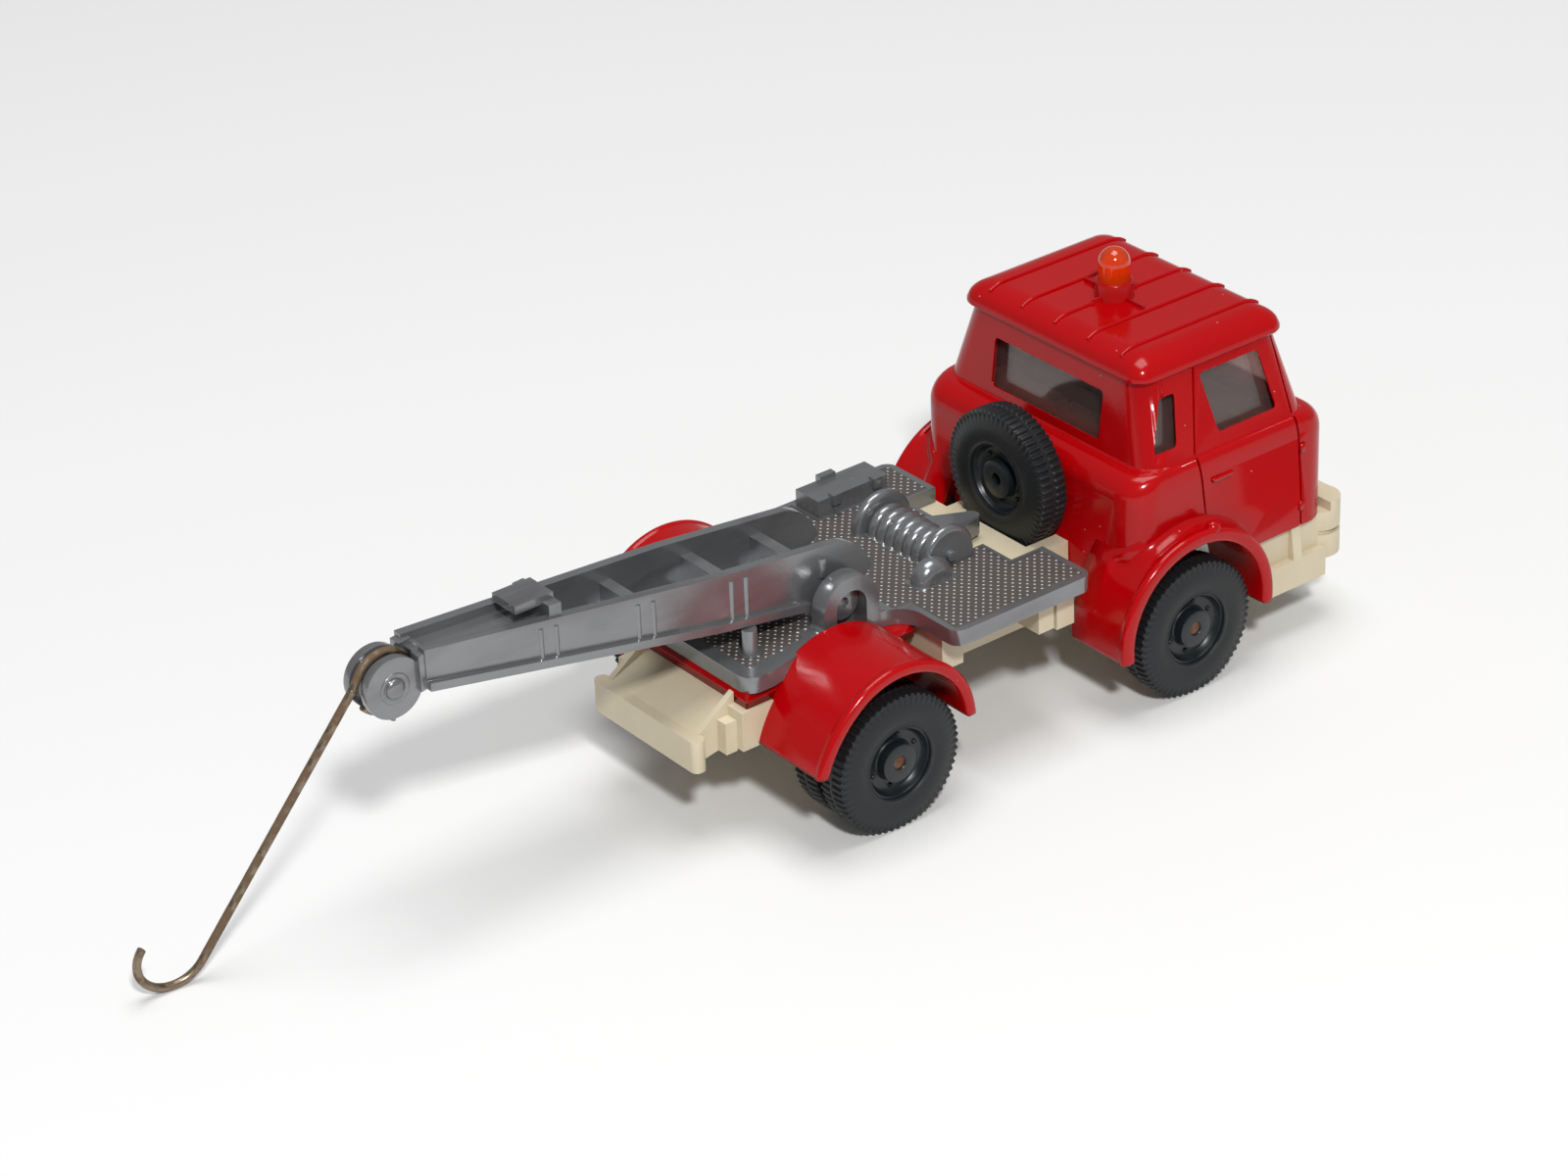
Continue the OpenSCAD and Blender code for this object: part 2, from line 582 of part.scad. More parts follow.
// Toolbox on the left side, with its hinges and latches
module toolbox() {
    x0 = drum_x - 3.15;
    x1 = x0 + 6.8;
    y0 = deck_half_w - 3.7;
    y1 = y0 + 2.8;
    top = deck_z + 1.5;
    box([x0, y0, deck_z - 0.3], [x1, y1, top]);
    box([x0 + 2.2, y1 - 0.3, deck_z], [x0 + 3.7, y1 + 0.3, top + 0.35]);
    for (x = [x0 + 1.2, x1 - 1.6]) box([x, y0 - 0.4, top - 0.6], [x + 0.8, y0 + 0.3, top + 0.25]);
}

module deck_plate() color("slategray") on_origin() difference() {
    union() {
        translate([0, 0, deck_z - deck_t]) linear_extrude(deck_t) union() {
            deck_half();
            mirror([0, 1]) deck_half();
        }
        both_sides() {
            boom_bearing();
            translate([post[0], post[1], deck_z - 0.3]) cylinder(r = post[2], h = post_top() - deck_z + 0.3);
        }
        winch();
        tongue();
        toolbox();
    }
    // bores for the trunnions; the arches are open below, through the deck's edge
    both_sides() {
        rod_y(pivot_x, pivot_z, trunnion_r + run_gap, boom_half_w - 0.15, far);
        box([pivot_x - trunnion_r - run_gap, arch_y[0] - 0.1, 0],
            [pivot_x + trunnion_r + run_gap, far, pivot_z]);
    }
}

// ---------------------------------------------------------------- boom

// x at a share of the way from the pivot to the tip
function boom_x(share) = pivot_x + share * (tip[0] - pivot_x);
// Height at x of a straight edge from z_root over the pivot to z_tip where the walls end
function edge_z(x, z_tip, z_root) = z_tip + (z_root - z_tip) * (x - wall_end_x) / (pivot_x - wall_end_x);
// Height of the boom's lower edge at x
function boom_low(x) = edge_z(x, boom_low_tip, boom_low_root) - 0.5;
// Height of the boom's upper edge at x
function boom_high(x) = edge_z(x, boom_high_tip, boom_high_root);
// Half the outer width of the boom at x: straight near the pivot, then narrowing to the tip
function boom_half(x) = x > straight_x ? boom_half_w : boom_tip_half_w
    + (boom_half_w - boom_tip_half_w) * (x - wall_end_x) / (straight_x - wall_end_x);
// Top of the posts that the lowered boom lies on
function post_top() = boom_low(post[0] + post[2]) - 0.02;

// The walls' side outline: straight to the rear, rounded over the pivot, and cut off at the heel
module wall_outline() {
    heel = [pivot_x + heel_r * sin(lift_stop), pivot_z - heel_r * cos(lift_stop)];
    chin = [heel[0] + heel_l * cos(lift_stop), heel[1] + heel_l * sin(lift_stop)];
    crown = [pivot_x + 0.6, boom_high(pivot_x + 0.6)];
    polygon(concat(
        [[wall_end_x, boom_low(wall_end_x)], [pivot_x - heel_r * 2, boom_low(pivot_x - heel_r * 2)],
            [pivot_x - heel_r * sin(10), pivot_z - heel_r * cos(10)], [pivot_x, pivot_z - heel_r], heel],
        [for (i = [0:8]) let (t = i / 8, bulge = [chin[0] - 0.9, crown[1] - 0.4])
            chin * (1 - t) * (1 - t) + bulge * 2 * t * (1 - t) + crown * t * t],
        [[wall_end_x, boom_high(wall_end_x)]]));
}

// The boom in plan from its heel to x_end, its half width drawn in by t
module boom_plan(t, x_end) {
    w0 = boom_half_w - t;
    w1 = boom_tip_half_w - t;
    x1 = pivot_x + heel_l + 2;
    polygon([[x_end, -w1], [straight_x, -w0], [x1, -w0], [x1, w0], [straight_x, w0], [x_end, w1]]);
}

// A plate between the walls at x, from z0 to z1
module rung(x, z0, z1) intersection() {
    box([x - 0.5, -far, z0], [x + 0.5, far, z1]);
    linear_extrude(far) boom_plan(boom_wall / 2, wall_end_x);
}

module boom() color("slategray") on_origin() difference() {
    floor_x = boom_x(0.056);
    union() {
        // walls
        difference() {
            intersection() {
                side_slab(-far, far) wall_outline();
                linear_extrude(far) boom_plan(0, wall_end_x);
            }
            translate([0, 0, -1]) linear_extrude(far) boom_plan(boom_wall, wall_end_x - 0.01);
        }
        // outward flange along the lower edge
        intersection() {
            side_slab(-far, far) polygon([[wall_end_x, boom_low(wall_end_x)], [0, boom_low(0)],
                [0, boom_low(0) + 0.65], [wall_end_x, boom_low(wall_end_x) + 0.65]]);
            difference() {
                linear_extrude(far) boom_plan(-flange_out, wall_end_x);
                translate([0, 0, -1]) linear_extrude(far + 2) boom_plan(boom_wall / 2, wall_end_x - 1);
            }
        }
        // floor, from the tip to the first rung
        intersection() {
            side_slab(-far, far) polygon([[wall_end_x, boom_low(wall_end_x)], [floor_x, boom_low(floor_x)],
                [floor_x, boom_low(floor_x) + 0.6], [wall_end_x, boom_low(wall_end_x) + 0.6]]);
            linear_extrude(far) boom_plan(boom_wall / 2, wall_end_x);
        }
        // cover just under the top edges, from the tip to the stop bracket
        intersection() {
            side_slab(-far, far) polygon([[wall_end_x, boom_high(wall_end_x) - 1.3],
                [bracket_x, boom_high(bracket_x) - 1.3], [bracket_x, boom_high(bracket_x) - 0.7],
                [wall_end_x, boom_high(wall_end_x) - 0.7]]);
            linear_extrude(far) boom_plan(boom_wall / 2, wall_end_x);
        }
        for (share = [0.056, 0.229, 0.437]) rung(boom_x(share), boom_low(boom_x(share)) + 0.2,
            boom_high(boom_x(share)) - 1.2);
        // stop bracket on top: a leg between the walls and a plate that points to the tip
        rung(bracket_x, boom_low(bracket_x) + 0.2, boom_high(bracket_x) + 0.9);
        box([bracket_x - 2.8, -1.4, boom_high(bracket_x) + 0.7],
            [bracket_x + 0.5, 1.4, boom_high(bracket_x) + 1.35]);
        // doubled ribs and the small stop on the outside of each wall
        both_sides() {
            for (share = [0.213, 0.249, 0.431, 0.466, 0.65, 0.684]) let (x = boom_x(share))
                translate([x, boom_half(x) - 0.1, boom_low(x) + 0.6])
                    cylinder(r = 0.22, h = boom_high(x) - boom_low(x) - 1.2, $fn = 16);
            translate([pivot_x - 0.8, boom_half_w - 0.05, pivot_z + 2.0])
                cylinder(r = 0.35, h = 1.5, $fn = 24);
            // trunnion
            rod_y(pivot_x, pivot_z, trunnion_r, boom_half_w - 0.1, arch_y[0] + 0.6);
            // cheek at the tip, with the web that joins it to the wall
            rod_y(tip[0], tip[1], cheek_r, cheek_gap / 2, cheek_gap / 2 + cheek_t);
            side_slab(cheek_gap / 2, boom_tip_half_w - 0.1) polygon([[tip[0] + 1.9, tip[1] + 1.9],
                [wall_end_x + 0.6, boom_high(wall_end_x) - 0.3],
                [wall_end_x + 0.6, boom_low(wall_end_x) + 0.1], [tip[0] + 1.9, tip[1] - 0.9]]);
        }
        // small peg that crosses between the walls
        rod_y(wall_end_x + 0.9, tip[1] + 1.2, 0.4, -boom_tip_half_w + 0.2, boom_tip_half_w - 0.2);
    }
    // sink marks in the ends of the trunnions
    both_sides() rod_y(pivot_x, pivot_z, trunnion_r - 0.9, arch_y[0] + 0.3, far);
    // room for the sheave and the wire between the cheeks
    rod_y(tip[0], tip[1], wrap_r + wire_r + 0.12, -cheek_gap / 2, cheek_gap / 2);
    // hole for the pin
    rod_y(tip[0], tip[1], pin_r, -far, far);
}

// Grooved sheave that turns on the pin
module boom_sheave() color("slategray") on_origin()
    translate([tip[0], sheave_w / 2, tip[1]]) rotate([90, 0, 0]) rotate_extrude() difference() {
        translate([pin_r + run_gap, 0]) square([groove_r + 0.22 - pin_r - run_gap, sheave_w]);
        translate([wrap_r, sheave_w / 2]) circle(wire_r + run_gap, $fn = 48);
        translate([groove_r + 0.05, sheave_w / 2 - wire_r - 0.12]) square([2, 2 * wire_r + 0.24]);
    }

// Pin through both cheeks
module sheave_pin() color("slategray") on_origin() {
    reach = cheek_gap / 2 + cheek_t + 0.25;
    rod_y(tip[0], tip[1], pin_r, -reach, reach);
}

// Rigid wire: an open eye round the sheave, a straight leg, and the hook at its end
module tow_hook() color("dimgray") on_origin() {
    eye_sweep = 290;
    elbow_r = 0.02;
    translate([tip[0], 0, tip[1]]) rotate([90, 0, 0]) rotate([0, 0, 180 - hook_pitch - eye_sweep])
        rotate_extrude(angle = eye_sweep) translate([wrap_r, 0]) circle(wire_r, $fn = 24);
    translate([leave[0], 0, leave[1]]) {
        sphere(wire_r + elbow_r, $fn = 24);
        rotate([0, hook_pitch + 180, 0]) cylinder(r = wire_r, h = stub_l, $fn = 24);
    }
    translate([stub_end[0], 0, stub_end[1]]) {
        sphere(wire_r + elbow_r, $fn = 24);
        rotate([0, hook_pitch, 0]) rotate([hook_lean, 0, 0]) {
            translate([0, 0, -wire_l]) cylinder(r = wire_r, h = wire_l, $fn = 24);
            translate([-bend_r, 0, -wire_l]) rotate([90, 180, 0])
                rotate_extrude(angle = 180) translate([bend_r, 0]) circle(wire_r, $fn = 24);
        }
    }
}

// ---------------------------------------------------------------- wheels

// A tyre about the Y axis
module tyre() {
    round_r = 0.55;
    rotate([90, 0, 0]) rotate_extrude($fn = 96) {
        translate([bead_r, -tyre_w / 2]) square([tyre_r - round_r - bead_r, tyre_w]);
        translate([bead_r, -tyre_w / 2 + round_r]) square([tyre_r - bead_r, tyre_w - 2 * round_r]);
        for (s = [-1, 1]) translate([tyre_r - round_r, s * (tyre_w / 2 - round_r)]) circle(round_r, $fn = 32);
    }
}

// A dished rim about the Y axis, its outer face towards +Y, with a hole of radius r in the hub
module rim(r) {
    web = 0.9;
    rotate([-90, 0, 0]) translate([0, 0, -rim_w / 2]) difference() {
        rotate_extrude() {
            square([1.5, rim_w]);
            square([bead_r, web]);
            translate([bead_r - 0.7, 0]) square([0.7, rim_w]);
        }
        translate([0, 0, -1]) cylinder(r = r, h = rim_w + 2);
    }
    // nuts round the hub
    for (i = [0:5]) rotate([0, 60 * i, 0]) translate([2.15, -rim_w / 2 + web - eps, 0]) rotate([-90, 0, 0])
        cylinder(r = 0.22, h = 0.25, $fn = 6);
}

module axle(x) color("sienna") on_origin() rod_y(x, tyre_r, axle_r, -tyre_face_y + 0.35, tyre_face_y - 0.35);

// A tyre or a rim on an axle: side is 1 for left and -1 for right
module wheel_piece(x, y, side, piece) on_origin() translate([x, side * y, tyre_r]) {
    if (piece == "tyre") color("darkslategray") tyre();
    else color("black") mirror([0, side < 0 ? 1 : 0, 0]) rim(axle_r);
}

// The spare wheel lies across the truck, its outer face to the rear
module spare(piece) on_origin() translate([spare_mid_x, 0, spare_z]) rotate([0, 0, 90]) {
    if (piece == "tyre") color("darkslategray") tyre();
    else color("black") rim(peg_r);
}

cab_shell();
cab_glazing();
cab_interior();
steering_wheel();
beacon_lens();
chassis();
rear_mudguards();
deck_plate();
boom();
boom_sheave();
sheave_pin();
tow_hook();
axle(wheelbase);  // front_axle
axle(0);  // rear_axle
wheel_piece(wheelbase, tyre_mid_y, 1, "tyre");  // front_left_tyre
wheel_piece(wheelbase, tyre_mid_y, 1, "rim");  // front_left_rim
wheel_piece(wheelbase, tyre_mid_y, -1, "tyre");  // front_right_tyre
wheel_piece(wheelbase, tyre_mid_y, -1, "rim");  // front_right_rim
wheel_piece(0, tyre_mid_y, 1, "tyre");  // rear_left_outer_tyre
wheel_piece(0, tyre_mid_y, 1, "rim");  // rear_left_outer_rim
wheel_piece(0, twin_mid_y, 1, "tyre");  // rear_left_inner_tyre
wheel_piece(0, twin_mid_y, 1, "rim");  // rear_left_inner_rim
wheel_piece(0, tyre_mid_y, -1, "tyre");  // rear_right_outer_tyre
wheel_piece(0, tyre_mid_y, -1, "rim");  // rear_right_outer_rim
wheel_piece(0, twin_mid_y, -1, "tyre");  // rear_right_inner_tyre
wheel_piece(0, twin_mid_y, -1, "rim");  // rear_right_inner_rim
spare("tyre");  // spare_tyre
spare("rim");  // spare_rim
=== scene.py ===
"""A toy tow truck: red cab, cream chassis, silver-grey deck and boom, black wheels, a wire hook.

Lengths in the classes are in millimetres, measured from the rear axle (x) and the ground (z),
and to_model() turns them into the model's frame in metres.
"""

import json
import logging
import math
from dataclasses import dataclass, field
from enum import Enum
from functools import cache

import bmesh
import bpy
import numpy as np
from mathutils import Matrix, Vector

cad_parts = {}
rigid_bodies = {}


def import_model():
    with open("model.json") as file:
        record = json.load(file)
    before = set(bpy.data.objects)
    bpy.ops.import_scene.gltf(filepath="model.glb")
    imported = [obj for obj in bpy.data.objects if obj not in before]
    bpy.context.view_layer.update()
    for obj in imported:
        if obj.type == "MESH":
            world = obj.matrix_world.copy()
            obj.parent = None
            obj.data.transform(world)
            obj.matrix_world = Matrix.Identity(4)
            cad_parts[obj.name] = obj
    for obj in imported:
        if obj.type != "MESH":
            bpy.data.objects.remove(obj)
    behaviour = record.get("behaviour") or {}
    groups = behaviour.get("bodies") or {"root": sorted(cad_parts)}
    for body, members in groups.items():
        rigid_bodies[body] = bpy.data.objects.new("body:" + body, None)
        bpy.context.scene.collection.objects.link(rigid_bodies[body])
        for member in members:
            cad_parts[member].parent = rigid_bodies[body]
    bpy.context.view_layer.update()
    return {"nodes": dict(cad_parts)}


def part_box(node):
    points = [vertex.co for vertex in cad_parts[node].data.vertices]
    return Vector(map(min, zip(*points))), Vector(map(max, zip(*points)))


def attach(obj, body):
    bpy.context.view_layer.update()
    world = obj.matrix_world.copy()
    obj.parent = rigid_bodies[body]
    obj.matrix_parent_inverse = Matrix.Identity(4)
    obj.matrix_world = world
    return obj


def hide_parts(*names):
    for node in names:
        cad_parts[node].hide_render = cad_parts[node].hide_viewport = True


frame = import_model()
LOG = logging.getLogger("tow_truck")
MM = 0.001
MERGE_MM = 0.002
FLAT_TURN = math.radians(0.6)
SHARP_DEGREES = 32.0
SHADED_SHARP_DEGREES = 40.0
FLAT_FACE_WEIGHT = 60
AHEAD, LEFTWARD, UPWARD = np.eye(3)
REAR_AXLE_X = float(sum(c[0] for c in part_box("rear_axle")) / 2)


class Side(Enum):
    """The two sides of the truck."""

    LEFT = 1
    RIGHT = -1


# ------------------------------------------------------------------ helpers


def to_model(points: np.ndarray) -> np.ndarray:
    """Points in millimetres from the rear axle, as metres in the model's frame.

    Args:
        points: an array whose last axis is x, y, z.
    Returns:
        The array in metres, with x moved by the rear axle's place.
    """
    return np.asarray(points, dtype=float) * MM + np.array([REAR_AXLE_X, 0.0, 0.0])


def full_turn(count: int) -> np.ndarray:
    """Evenly spaced angles of one whole turn, in radians."""
    return np.linspace(0, 2 * np.pi, count, endpoint=False)


def grid_faces(rows: int, cols: int, close_rows: bool = False, close_cols: bool = False) -> np.ndarray:
    """Quads of a grid of points stored row by row.

    Args:
        rows: how many rows of points.
        cols: how many points in a row.
        close_rows: join the last row to the first.
        close_cols: join the last point of a row to its first.
    Returns:
        An (n, 4) array of point numbers.
    """
    i, j = np.meshgrid(np.arange(rows if close_rows else rows - 1),
                       np.arange(cols if close_cols else cols - 1), indexing="ij")
    i2, j2 = (i + 1) % rows, (j + 1) % cols
    return np.stack([i * cols + j, i * cols + j2, i2 * cols + j2, i2 * cols + j], axis=-1).reshape(-1, 4)


def repeat_shape(points: np.ndarray, faces: np.ndarray, places: np.ndarray) -> tuple[np.ndarray, np.ndarray]:
    """One small shape set down at many places: each point is the shape's own plus the place.

    Args:
        points: (p, 3) points of the shape.
        faces: (f, k) faces of the shape.
        places: (n, 3) offsets.
    Returns:
        The joined points and faces.
    """
    moved = (places[:, None, :] + points[None, :, :]).reshape(-1, 3)
    steps = np.arange(len(places))[:, None, None] * len(points)
    return moved, (faces[None, :, :] + steps).reshape(-1, faces.shape[1])


def turn_outwards(mesh: bpy.types.Mesh) -> None:
    """Turns every face of a closed mesh outwards."""
    work = bmesh.new()
    work.from_mesh(mesh)
    bmesh.ops.recalc_face_normals(work, faces=work.faces)
    work.to_mesh(mesh)
    work.free()


def linked(name: str, mesh: bpy.types.Mesh) -> bpy.types.Object:
    """A smooth-shaded object for a mesh, linked into the scene."""
    mesh.polygons.foreach_set("use_smooth", np.ones(len(mesh.polygons), dtype=bool))
    piece = bpy.data.objects.new(name, mesh)
    bpy.context.scene.collection.objects.link(piece)
    return piece


def mesh_piece(name: str, points: np.ndarray, faces: np.ndarray, outward: bool = True) -> bpy.types.Object:
    """A smooth-shaded mesh object at the origin.

    Args:
        name: the piece's name.
        points: (n, 3) points in metres.
        faces: (m, 3) or (m, 4) point numbers.
        outward: recalculate the normals to point outwards.
    Returns:
        The object, linked into the scene.
    """
    mesh = bpy.data.meshes.new(name)
    mesh.from_pydata(points.tolist(), [], faces.tolist())
    mesh.update()
    if outward:
        turn_outwards(mesh)
    return linked(name, mesh)


def sharp_edges(work: bmesh.types.BMesh, angle: float) -> list[bmesh.types.BMEdge]:
    """The edges between two faces that turn by more than an angle, in degrees."""
    return [e for e in work.edges if len(e.link_faces) == 2 and e.calc_face_angle(0) > math.radians(angle)]


def soften(work: bmesh.types.BMesh, edge: float) -> None:
    """Rounds the sharp edges of a mesh in millimetres, as a mould leaves them.

    Args:
        work: the mesh.
        edge: width of the rounding, in millimetres.
    """
    bmesh.ops.remove_doubles(work, verts=work.verts, dist=MERGE_MM)
    bmesh.ops.dissolve_degenerate(work, dist=MERGE_MM, edges=work.edges)
    bmesh.ops.dissolve_limit(work, angle_limit=FLAT_TURN, verts=work.verts, edges=work.edges)
    bmesh.ops.bevel(work, geom=sharp_edges(work, SHARP_DEGREES), offset=edge, offset_type="OFFSET",
                    segments=2, profile=0.5, affect="EDGES", clamp_overlap=True)


def finished(work: bmesh.types.BMesh, name: str) -> bpy.types.Object:
    """A smooth-shaded object from a mesh in metres, its flat faces kept flat by weighted normals.

    Args:
        work: the mesh, which is freed.
        name: the piece's name.
    Returns:
        The object, linked into the scene.
    """
    mesh = bpy.data.meshes.new(name)
    work.to_mesh(mesh)
    work.free()
    piece = linked(name, mesh)
    piece.modifiers.new("flat_faces", "WEIGHTED_NORMAL").weight = FLAT_FACE_WEIGHT
    return piece


def softened_copy(node: str, name: str, edge: float) -> bpy.types.Object:
    """A moulded piece: the CAD node's own shape with its sharp edges rounded.

    Args:
        node: the CAD node to copy.
        name: the new piece's name.
        edge: width of the rounding, in millimetres.
    Returns:
        The new object.
    """
    work = bmesh.new()
    work.from_mesh(frame["nodes"][node].data)
    bmesh.ops.scale(work, vec=[1 / MM] * 3, verts=work.verts)
    soften(work, edge)
    bmesh.ops.scale(work, vec=[MM] * 3, verts=work.verts)
    return finished(work, name)


@dataclass
class Solid:
    """A closed shape in millimetres: points, four-sided faces and end caps of any number of sides."""

    points: np.ndarray
    faces: list

    def mesh(self, name: str) -> bpy.types.Mesh:
        """The shape as a mesh in millimetres, its faces outwards.

        Args:
            name: the mesh's name.
        Returns:
            The mesh.
        """
        mesh = bpy.data.meshes.new(name)
        mesh.from_pydata(self.points.tolist(), [], self.faces)
        turn_outwards(mesh)
        return mesh

    def mirrored(self) -> "Solid":
        """The same shape on the other side of the truck."""
        return Solid(self.points * [1, -1, 1], self.faces)


def both_sides(left: list[Solid]) -> list[Solid]:
    """The given shapes of the left side, and after them their mirror images."""
    return left + [s.mirrored() for s in left]


def joined(solids: list[Solid]) -> Solid:
    """Several shapes as one list of points and faces."""
    starts = np.cumsum([0] + [len(s.points) for s in solids])
    faces = [[int(v) + int(start) for v in face] for s, start in zip(solids, starts) for face in s.faces]
    return Solid(np.concatenate([s.points for s in solids]), faces)


def moulding(solids: list[Solid], name: str) -> bpy.types.Object:
    """Several shapes in millimetres from the rear axle, as one object in the model's frame.

    Args:
        solids: the shapes, which may run into each other.
        name: the piece's name.
    Returns:
        The object.
    """
    whole = joined(solids)
    mesh = Solid(to_model(whole.points), whole.faces).mesh(name + "_work")
    work = bmesh.new()
    work.from_mesh(mesh)
    bpy.data.meshes.remove(mesh)
    return finished(work, name)


def stacked_rings(rings: np.ndarray) -> Solid:
    """A closed shape from rings of points, with a cap on the first and on the last.

    Args:
        rings: (rings, points in a ring, 3).
    Returns:
        The shape.
    """
    rows, cols = rings.shape[:2]
    faces = grid_faces(rows, cols, close_cols=True).tolist()
    caps = [list(range(cols)), list(range((rows - 1) * cols, rows * cols))]
    return Solid(rings.reshape(-1, 3), faces + caps)


def rod(path: np.ndarray, across: np.ndarray, radius: float | np.ndarray, sides: int = 12) -> Solid:
    """A round rod: at each point of the path, a circle of the radius about it.

    Args:
        path: (n, 3) points.
        across: a direction square to the whole path.
        radius: one radius, or one for each point.
        sides: points round the circle.
    Returns:
        The shape.
    """
    along = np.gradient(path, axis=0)
    along /= np.linalg.norm(along, axis=1)[:, None]
    first = np.broadcast_to(np.asarray(across, dtype=float), path.shape)
    second = np.cross(along, first)
    turn = full_turn(sides)
    size = np.broadcast_to(radius, len(path))[:, None, None]
    rings = (path[:, None] + size * (first[:, None] * np.cos(turn)[None, :, None]
                                     + second[:, None] * np.sin(turn)[None, :, None]))
    return stacked_rings(rings)


def turned(profile: np.ndarray, at: np.ndarray, axis: np.ndarray, first: np.ndarray, sides: int) -> Solid:
    """A profile turned about an axis, with a flat cap on each end.

    Each point is the place, plus its height along the axis, plus the radius times the cosine of the
    turn in the first direction and the sine in the direction square to both.

    Args:
        profile: (n, 2) heights along the axis with their radii.
        at: a point on the axis, where the height is nothing.
        axis: the axis.
        first: a direction square to the axis.
        sides: points round the circle.
    Returns:
        The shape.
    """
    turn = full_turn(sides)[:, None]
    circle = np.cos(turn) * first + np.sin(turn) * np.cross(axis, first)
    return stacked_rings(at + profile[:, :1, None] * axis + profile[:, 1:, None] * circle)


def block(low: tuple, high: tuple, radius: float = 0.0) -> Solid:
    """A rectangular block between two corners, its upright edges rounded by the radius.

    Args:
        low: lowest x, y and z.
        high: highest x, y and z.
        radius: of the rounding, seen from above.
    Returns:
        The shape.
    """
    middle, half = (low[1] + high[1]) / 2, (high[1] - low[1]) / 2
    level = [[z, low[0], high[0], half, max(radius, 0.01)] for z in (low[2], high[2])]
    return stacked_rings(plan_rings(np.array(level), 4) + [0, middle, 0])


def plan_rings(levels: np.ndarray, steps: int) -> np.ndarray:
    """Rounded rectangles stacked up, one for each level.

    At each corner the point is the corner's centre, which lies the radius inside both edges, plus
    the radius times the cosine and sine of the turn.

    Args:
        levels: rows of height, rear x, front x, half width and corner radius.
        steps: points on each corner.
    Returns:
        (levels, 4 * steps, 3) points.
    """
    turn = np.linspace(0, np.pi / 2, steps)
    angle = (np.arange(4)[:, None] * np.pi / 2 + turn).ravel()
    side_x, side_y = np.repeat([1, -1, -1, 1], steps), np.repeat([1, 1, -1, -1], steps)
    z, rear, front, half, radius = (levels[:, k, None] for k in range(5))
    x = (rear + front) / 2 + side_x * ((front - rear) / 2 - radius) + radius * np.cos(angle)
    y = side_y * (half - radius) + radius * np.sin(angle)
    return np.stack([x, y, z + 0 * x], axis=-1)


def rounded_outline(corners: np.ndarray, radius: float, steps: int = 5) -> np.ndarray:
    """A polygon with round corners.

    Each corner C becomes the curve (1-s)^2 A + 2s(1-s) C + s^2 B, where A and B lie on the two
    sides at the radius from C and s goes from 0 to 1.

    Args:
        corners: (n, 2) corners in order.
        radius: how far the rounding reaches along each side.
        steps: points on each corner.
    Returns:
        (n * steps, 2) points.
    """
    corners = np.asarray(corners, dtype=float)
    before, after = np.roll(corners, 1, axis=0) - corners, np.roll(corners, -1, axis=0) - corners
    start = corners + radius * before / np.linalg.norm(before, axis=1)[:, None]
    end = corners + radius * after / np.linalg.norm(after, axis=1)[:, None]
    s = np.linspace(0, 1, steps)[None, :, None]
    curve = (1 - s) ** 2 * start[:, None] + 2 * s * (1 - s) * corners[:, None] + s ** 2 * end[:, None]
    return curve.reshape(-1, 2)


def grown(corners: np.ndarray, by: float) -> np.ndarray:
    """A convex polygon with every side moved outwards.

    A corner moves by the sum of the two sides' outward directions over one plus their dot product,
    times the distance.

    Args:
        corners: (n, 2) corners, in either order.
        by: the distance.
    Returns:
        (n, 2) corners.
    """
    corners = np.asarray(corners, dtype=float)
    sides = np.roll(corners, -1, axis=0) - corners
    out = np.stack([sides[:, 1], -sides[:, 0]], axis=1) / np.linalg.norm(sides, axis=1)[:, None]
    middle = corners.mean(axis=0)
    out *= np.sign(((corners + sides / 2 - middle) * out).sum(axis=1))[:, None]
    before = np.roll(out, 1, axis=0)
    return corners + by * (out + before) / (1 + (out * before).sum(axis=1))[:, None]


def carve(base: Solid, cutters: list[list[Solid]], name: str, edge: float) -> bmesh.types.BMesh:
    """Cuts groups of shapes out of a shape, one group after the other, and rounds the edges left.

    Args:
        base: the shape that is cut.
        cutters: groups of shapes; those of one group don't touch each other.
        name: a name for the work in hand.
        edge: width of the rounding in millimetres.
    Returns:
        The carved mesh in millimetres.
    """
    scene = bpy.context.scene.collection.objects
    piece = bpy.data.objects.new(name, base.mesh(name))
    scene.link(piece)
    tools = []
    for group in cutters:
        tool = bpy.data.objects.new(name + "_cutter", joined(group).mesh(name + "_cutter"))
        scene.link(tool)
        tools.append(tool)
        step = piece.modifiers.new("cut", "BOOLEAN")
        step.operation, step.solver, step.object = "DIFFERENCE", "EXACT", tool
    graph = bpy.context.evaluated_depsgraph_get()
    work = bmesh.new()
    work.from_mesh(piece.evaluated_get(graph).to_mesh())
    for gone in [piece] + tools:
        mesh = gone.data
        bpy.data.objects.remove(gone)
        bpy.data.meshes.remove(mesh)
    soften(work, edge)
    return work


# ------------------------------------------------------------------ finishes

# Flow lines of filled plastic: their stretch, their size in millimetres, and the range of noise they fill
FLOW_STRETCH, FLOW_SIZE, FLOW_BAND = (0.25, 1.0, 1.0), 5.0, (0.52, 0.72)
# A speck of dust: its radius as a share of the spacing, and how much of the colour below it hides
SPECK_REACH, SPECK_COVER = 0.07, 0.55


def linear(hex_colour: str) -> tuple[float, float, float, float]:
    """An sRGB hex colour as linear RGBA."""
    parts = [int(hex_colour[i:i + 2], 16) / 255 for i in (0, 2, 4)]
    return tuple(c / 12.92 if c <= 0.04045 else ((c + 0.055) / 1.055) ** 2.4 for c in parts) + (1.0,)


